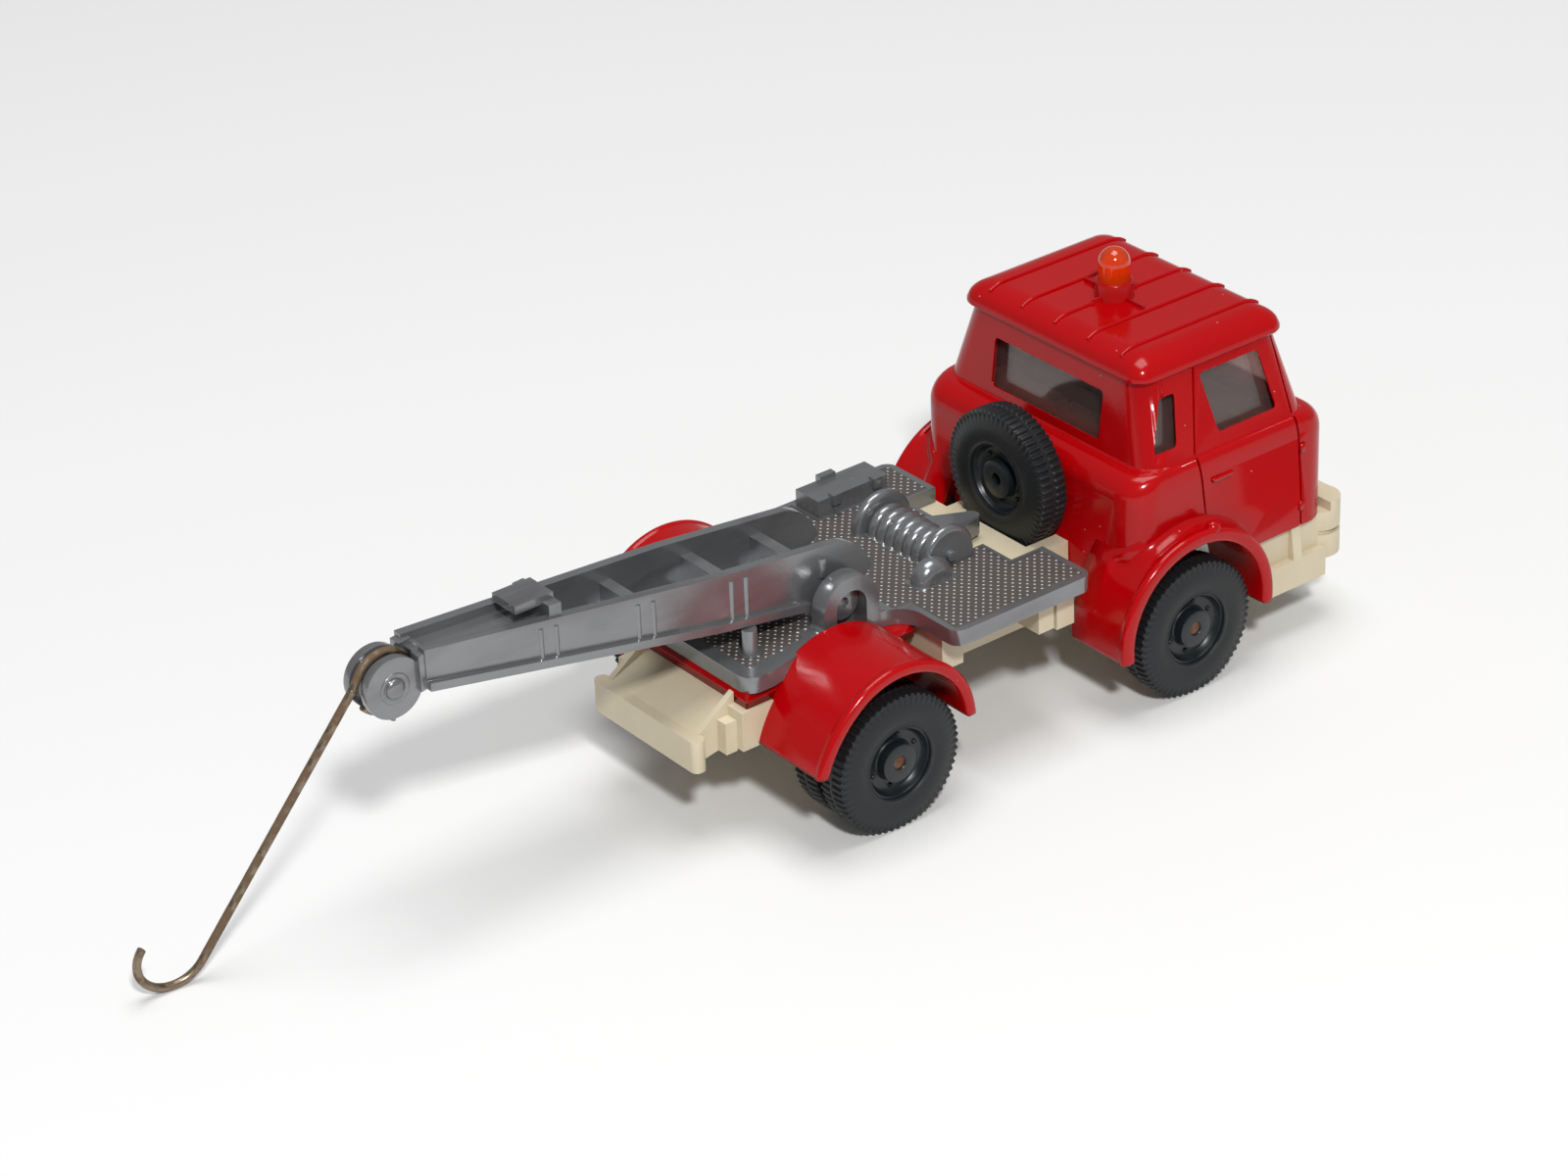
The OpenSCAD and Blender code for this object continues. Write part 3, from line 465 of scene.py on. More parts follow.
@dataclass
class Finish:
    """The node tree of one material, with the few nodes that every finish is made of."""

    name: str

    def __post_init__(self) -> None:
        """Makes an empty material and its object coordinates."""
        self.material = bpy.data.materials.new(self.name)
        self.material.use_nodes = True
        self.tree = self.material.node_tree
        self.tree.nodes.clear()
        self.place_at = self.add("ShaderNodeTexCoord").outputs["Object"]

    def add(self, kind: str, settings: dict | None = None, links: dict | None = None) -> bpy.types.Node:
        """Adds a shader node.

        Args:
            kind: the node's type.
            settings: socket names with values, or attribute names with values.
            links: socket names with the output sockets that feed them.
        Returns:
            The node.
        """
        made = self.tree.nodes.new(kind)
        for key, value in (settings or {}).items():
            if isinstance(key, str) and hasattr(made, key) and key not in made.inputs:
                setattr(made, key, value)
            else:
                made.inputs[key].default_value = value
        for key, socket in (links or {}).items():
            self.tree.links.new(socket, made.inputs[key])
        return made

    def noise(self, size: float, detail: float, **more: float) -> bpy.types.NodeSocket:
        """Noise with patches of a size in millimetres."""
        return self.add("ShaderNodeTexNoise", {"Scale": 1 / (size * MM), "Detail": detail, **more},
                        {"Vector": self.place_at}).outputs["Fac"]

    def between(self, source: bpy.types.NodeSocket, low: float, high: float,
                start: float = 0.0, end: float = 1.0) -> bpy.types.NodeSocket:
        """A value that runs from low to high while the source runs from start to end."""
        ends = {"From Min": start, "From Max": end, "To Min": low, "To Max": high}
        return self.add("ShaderNodeMapRange", ends, {"Value": source}).outputs["Result"]

    def mixed(self, share: bpy.types.NodeSocket, first: str | bpy.types.NodeSocket,
              second: str) -> bpy.types.NodeSocket:
        """A colour that goes from the first to the second as the share goes from 0 to 1."""
        settings, links = {"data_type": "RGBA", 7: linear(second)}, {0: share}
        if isinstance(first, str):
            settings[6] = linear(first)
        else:
            links[6] = first
        return self.add("ShaderNodeMix", settings, links).outputs[2]

    def bump(self, height: bpy.types.NodeSocket, depth: float) -> bpy.types.NodeSocket:
        """A normal roughened by a height, its depth in millimetres."""
        return self.add("ShaderNodeBump", {"Strength": 1.0, "Distance": depth * MM},
                        {"Height": height}).outputs["Normal"]

    def shaded(self, settings: dict, links: dict) -> bpy.types.Material:
        """Ends the tree with the principled shader and gives the material."""
        shader = self.add("ShaderNodeBsdfPrincipled", settings, links)
        self.add("ShaderNodeOutputMaterial", {}, {"Surface": shader.outputs[0]})
        return self.material


@dataclass(frozen=True)
class Plastic:
    """Injection-moulded plastic with a slow drift of tone, a fine skin from the mould, and dust.

    Sizes are in millimetres: drift is the width of the tone patches, skin the grain of the mould's
    surface, and speck the spacing of the dust.
    """

    name: str
    base: str
    shade: str
    gloss: float
    drift: float = 6.0
    skin: float = 0.35
    skin_depth: float = 0.006
    speck: float = 0.9
    dust: str = "D8D2C8"
    dust_share: float = 0.05
    metallic: float = 0.0
    streak: str | None = None
    streak_share: float = 0.5
    shine: float = 0.5

    def material(self) -> bpy.types.Material:
        """Builds the node material.

        Returns:
            A material named for the plastic.
        """
        made = Finish(self.name)
        drift = made.noise(self.drift, 3.0)
        colour = made.mixed(drift, self.shade, self.base)
        if self.streak:
            flow = made.add("ShaderNodeMapping", {"Scale": FLOW_STRETCH}, {"Vector": made.place_at})
            swirl = made.add("ShaderNodeTexNoise",
                             {"Scale": 1 / (FLOW_SIZE * MM), "Detail": 4.0, "Distortion": 2.2},
                             {"Vector": flow.outputs["Vector"]})
            band = made.between(swirl.outputs["Fac"], 0.0, self.streak_share, *FLOW_BAND)
            colour = made.mixed(band, colour, self.streak)
        specks = made.add("ShaderNodeTexVoronoi", {"Scale": 1 / (self.speck * MM)}, {"Vector": made.place_at})
        picked = made.add("ShaderNodeSeparateColor", {}, {"Color": specks.outputs["Color"]})
        rare = made.add("ShaderNodeMath", {"operation": "LESS_THAN", 1: self.dust_share},
                        {0: picked.outputs["Red"]})
        near = made.add("ShaderNodeMath", {"operation": "LESS_THAN", 1: SPECK_REACH},
                        {0: specks.outputs["Distance"]})
        dusty = made.add("ShaderNodeMath", {"operation": "MULTIPLY"},
                         {0: rare.outputs[0], 1: near.outputs[0]})
        thin = made.add("ShaderNodeMath", {"operation": "MULTIPLY", 1: SPECK_COVER}, {0: dusty.outputs[0]})
        return made.shaded({"IOR": 1.5, "Metallic": self.metallic, "Specular IOR Level": self.shine},
                           {"Base Color": made.mixed(thin.outputs[0], colour, self.dust),
                            "Roughness": made.between(drift, self.gloss * 0.85, self.gloss * 1.2),
                            "Normal": made.bump(made.noise(self.skin, 2.0), self.skin_depth)})


@dataclass(frozen=True)
class ClearPlastic:
    """Transparent polystyrene: tint is what it does to the light that goes through."""

    name: str
    tint: str
    gloss: float
    through: float
    haze: float = 1.2

    def material(self) -> bpy.types.Material:
        """Builds the node material, with fine scratches in its roughness."""
        made = Finish(self.name)
        haze = made.noise(self.haze, 5.0)
        return made.shaded(
            {"IOR": 1.59, "Base Color": linear(self.tint), "Transmission Weight": self.through},
            {"Roughness": made.between(haze, self.gloss * 0.6, self.gloss * 1.6)})


@dataclass(frozen=True)
class Steel:
    """Bare steel wire that has started to rust: clean metal with brown patches, dull where brown."""

    name: str
    clean: str
    rust: str
    rust_level: float
    patch: float = 0.8
    fade: float = 0.16
    pit_depth: float = 0.02

    def material(self) -> bpy.types.Material:
        """Builds the node material."""
        made = Finish(self.name)
        patches = made.noise(self.patch, 6.0)
        amount = made.between(patches, 0.0, 1.0, self.rust_level, self.rust_level + self.fade)
        return made.shaded({}, {"Base Color": made.mixed(amount, self.clean, self.rust),
                                "Roughness": made.between(amount, 0.32, 0.75),
                                "Metallic": made.between(amount, 1.0, 0.25),
                                "Normal": made.bump(patches, self.pit_depth)})


@cache
def material_of(finish: Plastic | ClearPlastic | Steel) -> bpy.types.Material:
    """The material of a finish, made on its first use."""
    return finish.material()


def dress(piece: bpy.types.Object, finish: Plastic | ClearPlastic | Steel) -> None:
    """Gives a piece one finish all over."""
    piece.data.materials.clear()
    piece.data.materials.append(material_of(finish))


def place(piece: bpy.types.Object, body: str, slot: str, finish: Plastic, *replaced: str) -> None:
    """Dresses a new piece, lets it ride on a body, and hides the CAD nodes it stands for.

    Args:
        piece: the new object.
        body: the body it moves with.
        slot: the record's material slot; not used.
        finish: its finish.
        replaced: names of the CAD nodes it hides.
    """
    dress(piece, finish)
    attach(piece, body)
    if replaced:
        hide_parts(*replaced)
    LOG.info("%s: %d faces on %s", piece.name, len(piece.data.polygons), body)


# High-gloss polystyrene, red through and through: deep colour and clean small highlights
RED = Plastic("red_polystyrene", "AE0207", "A00206", 0.15, drift=9.0, dust_share=0.05, speck=0.7, shine=0.3)
# Unpainted ivory polystyrene: less polished, faintly mottled, greyed where fingers held it
CREAM = Plastic("ivory_polystyrene", "D3C8AE", "C6B99C", 0.42, drift=3.0, skin=0.6, skin_depth=0.012,
                dust="8C7A60", dust_share=0.03)
# Polystyrene filled with aluminium flake: grey, pearly, with darker flow lines from the mould
FLAKE = Plastic("aluminium_flake_polystyrene", "8F9193", "7F8183", 0.21, drift=4.0, metallic=0.65,
                streak="625658", streak_share=0.4, skin=0.25, skin_depth=0.008)
# Low-gloss black polyethylene of the tyres, slightly blue in the light
TYRE = Plastic("black_polyethylene", "1D2022", "17191B", 0.4, shine=0.35, drift=4.0, skin=0.3,
               skin_depth=0.01, dust="8B8B86", dust_share=0.03)
# The rims are a harder, blacker moulding
RIM = Plastic("black_polystyrene", "1A2023", "14191C", 0.33, drift=3.0, dust="77756E", dust_share=0.02)
# Beige polystyrene of the seats and floor
BEIGE = Plastic("beige_polystyrene", "D9CDB2", "CABD9F", 0.4, drift=5.0)
DARK = Plastic("dark_grey_polystyrene", "2A2B2D", "222325", 0.35)
# Clear styrene of the windows, a little smoky, tinted pinkish as a painted reflection of the cab's red inside
WINDOW = ClearPlastic("clear_polystyrene", "C2ABA7", 0.09, 0.92)
# Orange see-through styrene of the beacon
ORANGE = ClearPlastic("orange_clear_polystyrene", "FF5200", 0.06, 0.62)
# Drawn steel wire of the hook, and the turned ends of the axles
WIRE = Steel("rusted_steel_wire", "8C7D6B", "6A543F", 0.4)
AXLE = Steel("rusted_axle_steel", "7A6253", "6A3F25", 0.36)


# ------------------------------------------------------------------ wheels


@dataclass
class Wheel:
    """One wheel: a tyre with two rows of blocks, and a dished rim with a flat hub.

    The wheel is worked out about its own axis (u outwards along the axis), then turned and placed.
    """

    name: str
    body: str
    centre: tuple[float, float, float]
    outwards: tuple[float, float, float]
    tyre_r: float = 5.6
    width: float = 2.8
    lip_r: float = 2.85
    blocks: int = 60
    block_depth: float = 0.18
    nut_count: int = 6
    nut_ring_r: float = 2.08
    nut_r: float = 0.2
    nut_h: float = 0.24

    def placed(self, radius: np.ndarray, along: np.ndarray, angle: np.ndarray) -> np.ndarray:
        """Points at a radius and angle about the wheel's axis, at a distance along it.

        Args:
            radius: distances from the axis.
            along: distances along the axis, outwards.
            angle: angles in radians.
        Returns:
            Points in metres in the model's frame.
        """
        out = np.array(self.outwards)
        side = np.cross(UPWARD, out)
        return to_model(np.array(self.centre) + along[..., None] * out
                        + (radius * np.cos(angle))[..., None] * side
                        + (radius * np.sin(angle))[..., None] * UPWARD)

    def tyre(self) -> bpy.types.Object:
        """The tyre: a closed profile turned about the axis, its tread lifted where a block stands.

        The profile runs from the lip up the outer side wall, across the tread and down the inner
        side. The block height is a rounded square wave of the angle, times a band over each half
        of the tread, and nothing in the narrow gap between the halves.
        """
        half = self.width / 2
        base = self.tyre_r - self.block_depth
        lip = self.lip_r
        side = np.array([[lip, half - 0.45], [lip + 0.02, half - 0.12], [lip + 0.12, half - 0.03],
                         [lip + 0.3, half - 0.08], [3.45, half - 0.02], [4.0, half], [4.55, half - 0.06],
                         [4.95, half - 0.16], [5.12, half - 0.22], [5.2, half - 0.24]])
        across = np.array([1.16, 1.12, 1.06, 0.9, 0.7, 0.5, 0.3, 0.2, 0.14, 0.1, 0.05])
        tread = np.stack([base - 0.1 * (across / 1.2) ** 4, across], axis=1)
        profile = np.concatenate([side, tread, (tread * [1, -1])[::-1], (side * [1, -1])[::-1]])
        steps = self.blocks * 8
        angle = full_turn(steps)
        phase = (angle * self.blocks / (2 * np.pi)) % 1.0
        wave = np.clip((0.29 - np.abs(phase - 0.5)) / 0.07, 0, 1)
        reach = np.abs(profile[:, 1])
        band = np.where(profile[:, 0] > 5.0, np.clip((reach - 0.1) / 0.06, 0, 1), 0.0)
        shoulder = np.where((profile[:, 0] > 4.9) & (reach > 1.15), 0.6, 1.0)
        lift = self.block_depth * wave[:, None] * (band * shoulder)[None, :]
        rib = 0.12 * np.clip((0.12 - reach) / 0.04, 0, 1)
        radius = profile[None, :, 0] + lift + rib[None, :]
        spread = profile[None, :, 1] * (1 + 0.05 * wave[:, None] * band[None, :] * (reach > 1.0)[None, :])
        points = self.placed(radius, spread, angle[:, None]).reshape(-1, 3)
        return sharpened(self.name + "_moulded_tyre", points, grid_faces(steps, len(profile), True, True))

    def rim(self) -> bpy.types.Object:
        """The rim: a dished profile turned about the axis, with the nuts set round the hub."""
        half = self.width / 2
        profile = np.array([[0.52, half - 0.9], [0.52, half - 0.24], [0.58, half - 0.18], [1.4, half - 0.14],
                            [1.5, half - 0.2], [1.52, half - 0.3], [1.56, half - 0.95], [1.66, half - 1.04],
                            [2.3, half - 1.0], [2.52, half - 0.85], [2.66, half - 0.42], [2.72, half - 0.3],
                            [2.9, half - 0.3], [2.9, half - 1.5], [0.52, half - 1.5]])
        angle = full_turn(96)[:, None]
        points = self.placed(profile[None, :, 0], profile[None, :, 1], angle).reshape(-1, 3)
        nut_points, nut_faces = self.nuts(half - 1.03)
        faces = np.concatenate([grid_faces(len(angle), len(profile), True, True), nut_faces + len(points)])
        return sharpened(self.name + "_moulded_rim", np.concatenate([points, nut_points]), faces)

    def nuts(self, level: float) -> tuple[np.ndarray, np.ndarray]:
        """Six low domed nuts: rings that draw in as they rise by the sine of the same angle."""
        rows, sides = 5, 12
        rise = np.linspace(0, np.pi / 2, rows)[:, None]
        turn = full_turn(sides)
        at = (full_turn(self.nut_count) + 0.35)[:, None, None]
        x = self.nut_ring_r * np.cos(at) + self.nut_r * np.cos(rise) * np.cos(turn)
        y = self.nut_ring_r * np.sin(at) + self.nut_r * np.cos(rise) * np.sin(turn)
        up = level + self.nut_h * np.sin(rise) + 0 * x
        points = self.placed(np.hypot(x, y), up, np.arctan2(y, x)).reshape(-1, 3)
        first = np.arange(self.nut_count)[:, None, None] * rows * sides
        return points, (grid_faces(rows, sides, close_cols=True) + first).reshape(-1, 4)

    def build(self) -> None:
        """Makes the tyre and the rim and puts them on their body."""
        place(self.tyre(), self.body, "tyre_plastic", TYRE, self.name + "_tyre")
        place(self.rim(), self.body, "rim_plastic", RIM, self.name + "_rim")


def sharpened(name: str, points: np.ndarray, faces: np.ndarray) -> bpy.types.Object:
    """A smooth-shaded mesh piece whose sharp edges stay sharp in the shading.

    Args:
        name: the piece's name.
        points: (n, 3) points in metres.
        faces: (m, 4) point numbers.
    Returns:
        The object.
    """
    piece = mesh_piece(name, points, faces)
    work = bmesh.new()
    work.from_mesh(piece.data)
    for edge in sharp_edges(work, SHADED_SHARP_DEGREES):
        edge.smooth = False
    work.to_mesh(piece.data)
    work.free()
    return piece


# ------------------------------------------------------------------ deck


@dataclass
class DeckNubs:
    """The chequer nubs of the deck: small lozenges in staggered rows, short along the slanting row.

    A place with a half width is chequered up to there. Each row of smooth is a rectangle without
    nubs: its lowest and highest x, then its lowest and highest y.
    """

    top_z: float = 12.9
    rear_x: float = -8.45
    front_x: float = 20.4
    half_w: float = 12.0
    waist_x: tuple[float, float] = (5.6, 7.1)
    waist_half_w: float = 6.1
    narrow_half_w: float = 4.2
    tail_x: float = -1.2
    notch: tuple[float, float] = (16.95, 6.65)
    slot: tuple[float, float] = (15.25, 3.3)
    smooth: dict[str, tuple[float, float, float, float]] = field(default_factory=lambda: {
        "winch": (11.5, 15.8, -3.9, 5.2), "flange": (10.8, 16.5, 4.0, 5.2),
        "boss": (9.1, 12.8, -5.6, -3.5), "toolbox": (10.3, 17.5, 8.0, 11.4),
    })
    arch: tuple[float, float, float] = (-1.6, 6.05, 4.15)
    post: tuple[float, float, float] = (-5.8, 4.1, 0.85)
    pitch_x: float = 0.715
    row_y: float = 0.414
    half: float = 0.15
    half_across: float = 0.065
    height: float = 0.05
    root: float = 0.03
    cell: float = 0.16
    skin: float = 0.02
    edge: float = 1.15
    rim: float = 0.55

    def fits(self, x: np.ndarray, y: np.ndarray) -> np.ndarray:
        """Whether each place is on the chequered part of the deck.

        Args:
            x: distances from the rear axle.
            y: distances to the left.
        Returns:
            A boolean array.
        """
        reach = np.abs(y)
        start, end = self.waist_x
        wide = (x > end + self.rim) & (x < self.front_x - self.rim) & (reach < self.half_w - self.rim)
        waist = (x > start) & (x <= end + self.rim) & (reach < self.waist_half_w)
        behind = (x > self.rear_x + self.edge)
        narrow = behind & (x <= start) & (reach < self.narrow_half_w)
        tail = behind & (x < self.tail_x) & (reach < 5.7 - (x + 6.1) * 0.14)
        bare = (x > self.notch[0]) & (reach < self.notch[1]) | (x > self.slot[0]) & (reach < self.slot[1])
        bare |= (x > self.arch[0]) & (x < self.arch[1]) & (reach > self.arch[2])
        bare |= np.hypot(x - self.post[0], reach - self.post[1]) < self.post[2]
        for x0, x1, y0, y1 in self.smooth.values():
            bare |= (x > x0) & (x < x1) & (y > y0) & (y < y1)
        return (wide | waist | narrow | tail) & ~bare

    def build(self) -> None:
        """Sets a nub at each place of the staggered grid that is on the deck."""
        cols = np.arange(-14, 30)
        rows = np.arange(-30, 31)
        i, j = np.meshgrid(cols, rows, indexing="ij")
        x = (i + 0.5 * (j % 2)) * self.pitch_x
        y = j * self.row_y
        keep = self.fits(x, y)
        places = np.stack([x[keep], y[keep], np.full(keep.sum(), self.top_z)], axis=1)
        row = np.array([self.pitch_x / 2, self.row_y])
        row = row / np.linalg.norm(row) * self.half_across
        across = np.array([row[1], -row[0]]) * self.half / self.half_across
        ring = np.stack([across, row, -across, -row])
        points = np.concatenate([np.c_[ring, [-self.root] * 4], np.c_[ring / 2, [self.height] * 4]])
        faces = np.array([[0, 1, 5, 4], [1, 2, 6, 5], [2, 3, 7, 6], [3, 0, 4, 7], [4, 5, 6, 7]])
        many, quads = repeat_shape(points, faces, places)
        piece = mesh_piece("deck_nubs", to_model(many), quads)
        piece.data.polygons.foreach_set("use_smooth", np.zeros(len(piece.data.polygons), dtype=bool))
        place(piece, "truck", "grey_plastic", NUB)
        place(self.ground(), "truck", "grey_plastic", GROUND)

    def ground(self) -> bpy.types.Object:
        """The sunk ground between the nubs, a dark skin of painted shade: every square of a fine grid whose
        middle is chequered.

        Returns:
            A thin closed skin on the deck.
        """
        x = np.arange(-9.0, 21.0, self.cell)
        y = np.arange(-12.4, 12.4, self.cell)
        i, j = np.meshgrid(np.arange(len(x) - 1), np.arange(len(y) - 1), indexing="ij")
        keep = self.fits(x[i] + self.cell / 2, y[j] + self.cell / 2)
        first = (i * len(y) + j)[keep]
        quads = np.stack([first, first + len(y), first + len(y) + 1, first + 1], axis=1)
        grid_x, grid_y = np.meshgrid(x, y, indexing="ij")
        level = np.full(grid_x.size, self.top_z + self.skin)
        points = np.stack([grid_x.ravel(), grid_y.ravel(), level], axis=1)
        used, numbers = np.unique(quads, return_inverse=True)
        piece = mesh_piece("deck_ground", to_model(points[used]), numbers.reshape(quads.shape), outward=False)
        skin = piece.modifiers.new("skin", "SOLIDIFY")
        skin.thickness = self.skin * MM
        skin.offset = -1.0
        return piece


# The same flake-filled plastic, made near-white on the nubs as a painted glint of the lamp
NUB = Plastic("painted_glint_flake_polystyrene", "FFFFFF", "EDEEEE", 0.3, metallic=0.2, drift=3.0, dust_share=0.0)
# The same plastic at the bottom of the chequer, where little light gets in
GROUND = Plastic("sunk_flake_polystyrene", "5D5753", "524C49", 0.5, metallic=0.3, drift=3.0, dust_share=0.0)


# ------------------------------------------------------------------ arches


def arch_band(centre: tuple[float, float], angle: np.ndarray, radii: tuple[float, float],
              reach: tuple[float, float], start: np.ndarray, height: np.ndarray,
              spread: np.ndarray | float = 0.0) -> Solid:
    """A band round a wheel, with a rolled outer edge and a hollow where it leaves the body.

    The cross-section is a closed profile of distance from the arch's centre and distance from the
    truck's middle. From the body outwards it is lifted by the height, falls by one minus the square
    root of one minus the square of what is left of the hollow, runs flat, and rolls over the edge.

    Args:
        centre: x and z of the arch's centre.
        angle: (n,) angles along the arch.
        radii: inner and outer radius.
        reach: the band's inner and outer distance from the truck's middle.
        start: (n,) where the hollow starts, at each angle.
        height: (n,) how high the hollow starts, at each angle.
        spread: (n,) how much further out the whole band is, at each angle.
    Returns:
        The left band.
    """
    edge, width = 0.4, 1.5
    share = np.linspace(0, 1, 8)
    bend = np.linspace(0, np.pi / 2, 6)
    fall = 1 - np.sqrt(1 - (1 - share) ** 2)
    inner, outer = radii
    hollow = start[:, None] + width * share
    rim_y = np.array([reach[1] - 0.85, reach[1] - 0.68, reach[1] - 0.6])
    roll = reach[1] - edge + edge * np.sin(bend)
    back = np.array([reach[1], reach[1] - 0.05, reach[1] - 0.5, reach[0]])
    count = len(angle)
    y = np.concatenate([np.full((count, 1), reach[0]), start[:, None] - 0.2, hollow,
                        np.broadcast_to(np.concatenate([rim_y, roll, back]), (count, 13))], axis=1)
    top = height[:, None] * np.concatenate([[1.0, 1.0], fall])
    rim = np.broadcast_to(np.concatenate([[0.0, 0.04, 0.12], 0.12 - edge * (1 - np.cos(bend))]), (count, 9))
    under = np.broadcast_to(np.array([inner + 0.25, inner + 0.05, inner, inner]) - outer, (count, 4))
    radius = outer + np.concatenate([top, rim, under], axis=1) + np.reshape(spread, (-1, 1))
    x = centre[0] + radius * np.cos(angle)[:, None]
    z = centre[1] + radius * np.sin(angle)[:, None]
    return stacked_rings(np.stack([x, y, z], axis=-1))


@dataclass
class Mudguards:
    """The rear mudguards and the plate that joins them, one red moulding under the deck."""

    centre_z: float = 6.9
    inner_r: float = 6.1
    outer_r: float = 6.9
    in_y: float = 6.35
    wall_y: float = 7.65
    wall_t: float = 0.4
    out_y: float = 14.45
    foot_z: float = 7.35
    flare: float = 0.95
    flare_from: float = 2.2
    steps: int = 90
    plate_x: tuple[float, float] = (-8.45, 7.3)
    plate_z: tuple[float, float] = (10.4, 11.58)
    plate_half_w: float = 6.95

    def half(self) -> list[Solid]:
        """The left mudguard: its band, which flares towards the rear foot, and its inner wall."""
        foot = math.asin((self.foot_z - self.centre_z) / self.outer_r)
        angle = np.linspace(foot, np.pi - foot, self.steps)
        spread = self.flare * np.clip((angle - self.flare_from) / (np.pi - self.flare_from), 0, 1) ** 2
        band = arch_band((0.0, self.centre_z), angle, (self.inner_r, self.outer_r), (self.in_y, self.out_y),
                         np.full(self.steps, self.in_y + 0.3), np.zeros(self.steps), spread)
        size = (self.inner_r + self.outer_r) / 2
        rim = np.stack([size * np.cos(angle), 0 * angle, self.centre_z + size * np.sin(angle)], axis=1)
        faces_at = np.outer([self.wall_y, self.wall_y + self.wall_t], LEFTWARD)
        return [band, stacked_rings(rim + faces_at[:, None])]

    def build(self) -> None:
        """Joins both halves with the plate and puts them on the truck."""
        (rear, front), (low, high) = self.plate_x, self.plate_z
        plate = block((rear, -self.plate_half_w, low), (front, self.plate_half_w, high), 0.12)
        piece = moulding(both_sides(self.half()) + [plate], "mudguards_moulding")
        place(piece, "truck", "red_plastic", RED, "rear_mudguards")


# ------------------------------------------------------------------ cab


@dataclass
class Cab:
    """The red cab: a body with a rolled shoulder, a greenhouse that leans in, and a crowned roof.

    Every height and distance is in millimetres from the rear axle and the ground.
    """

    rear_x: float = 24.0
    front_x: float = 44.4
    half_w: float = 12.6
    corner_r: float = 2.4
    floor_z: float = 9.6
    belt_z: float = 19.0
    shoulder_h: float = 2.0
    pane_rear_x: float = 25.9
    pane_front_x: float = 42.7
    belt_half_w: float = 12.1
    roof_rear_x: float = 26.5
    roof_front_x: float = 41.65
    roof_half_w: float = 10.35
    roof_z: float = 25.9
    crown_h: float = 1.5
    crown_edge: float = 2.3
    lip: float = 0.3
    lip_h: float = 0.38
    wall: float = 0.8
    flare: float = 0.55
    pane_edge: float = 0.2
    beacon_x: float = 33.3
    beacon_r: float = 1.25
    arch_x: float = 29.1
    arch_z: float = 6.3
    arch_r: float = 6.65
    fender_t: float = 0.95
    fender_y: float = 14.45
    fender_in_y: float = 8.3
    handle_x: tuple[float, float] = (31.8, 33.9)
    handle_z: tuple[float, float] = (16.75, 17.1)
    hinge_x: tuple[float, float] = (40.95, 41.45)
    hinge_z: tuple[float, float] = (11.0, 16.0)
    hinge_h: float = 0.75
    bars_z: tuple[float, float, float] = (12.2, 13.6, 15.0)
    bar_half_w: float = 5.6
    light_y: float = 9.2
    light_z: float = 12.9
    seam_w: float = 0.2
    rib_r: float = 0.17
    fin_half_t: float = 0.09
    fin_h: float = 0.28
    fin_reach: tuple[float, float] = (2.3, 3.4)
    hollow_h: float = 1.3
    peg_z: float = 15.8
    peg_r: float = 0.55

    def wall_at(self, z: np.ndarray, body: float, belt: float, roof: float) -> np.ndarray:
        """Place of a wall at a height: straight, then a quarter ellipse, then leaning to the roof.

        Args:
            z: heights.
            body: the wall's place below the shoulder.
            belt: its place at the top of the shoulder.
            roof: its place at the roof's edge.
        Returns:
            The wall's places.
        """
        rise = np.clip((z - self.belt_z + self.shoulder_h) / self.shoulder_h, 0, 1)
        low = body + (belt - body) * (1 - np.sqrt(1 - rise ** 2))
        high = belt + (roof - belt) * (z - self.belt_z) / (self.roof_z - self.belt_z)
        return np.where(z > self.belt_z, high, low)

    def side_y(self, z: np.ndarray) -> np.ndarray:
        """Half the cab's width at a height."""
        return self.wall_at(z, self.half_w, self.belt_half_w, self.roof_half_w - self.lip)

    def end_x(self, z: np.ndarray, front: bool) -> np.ndarray:
        """Place of the front or the rear wall at a height."""
        if front:
            return self.wall_at(z, self.front_x, self.pane_front_x, self.roof_front_x - self.lip)
        return self.wall_at(z, self.rear_x, self.pane_rear_x, self.roof_rear_x + self.lip)

    def levels(self, inset: float) -> np.ndarray:
        """Rows of the cab's walls from the floor to the roof's lip, drawn in by the inset."""
        bend = np.sin(np.linspace(0, np.pi / 2, 9))
        low = np.array([self.floor_z, 12.0, 14.5])
        roll = self.belt_z - self.shoulder_h * (1 - bend)
        high = np.linspace(self.belt_z + 0.14, self.roof_z - self.lip_h, 5)
        z = np.concatenate([low, roll, high])
        step = np.where(z > self.belt_z, 0.1, 0.0)
        body = np.clip((z - self.belt_z + self.shoulder_h) / self.shoulder_h, 0, 1)
        radius = self.corner_r - 0.2 * body - inset * 0.8
        drawn = step + inset
        return np.stack([z - inset * 0.5 * (z > self.belt_z), self.end_x(z, False) + drawn,
                         self.end_x(z, True) - drawn, self.side_y(z) - drawn, radius], axis=1)

    def crown(self) -> np.ndarray:
        """Rows of the roof: an upright lip, then a quarter ellipse that runs in to the flat top."""
        turn = np.linspace(0, np.pi / 2, 10)
        drawn = self.crown_edge * (1 - np.cos(turn))
        z = self.roof_z + self.crown_h * np.sin(turn)
        z = np.concatenate([[self.roof_z - self.lip_h, self.roof_z - self.lip_h * 0.6, self.roof_z], z[1:]])
        drawn = np.concatenate([[0.1, 0.0, 0.0], drawn[1:] + 0.06])
        radius = np.maximum(1.5 - 0.5 * drawn, 0.5)
        return np.stack([z, self.roof_rear_x + drawn, self.roof_front_x - drawn,
                         self.roof_half_w - drawn, radius], axis=1)

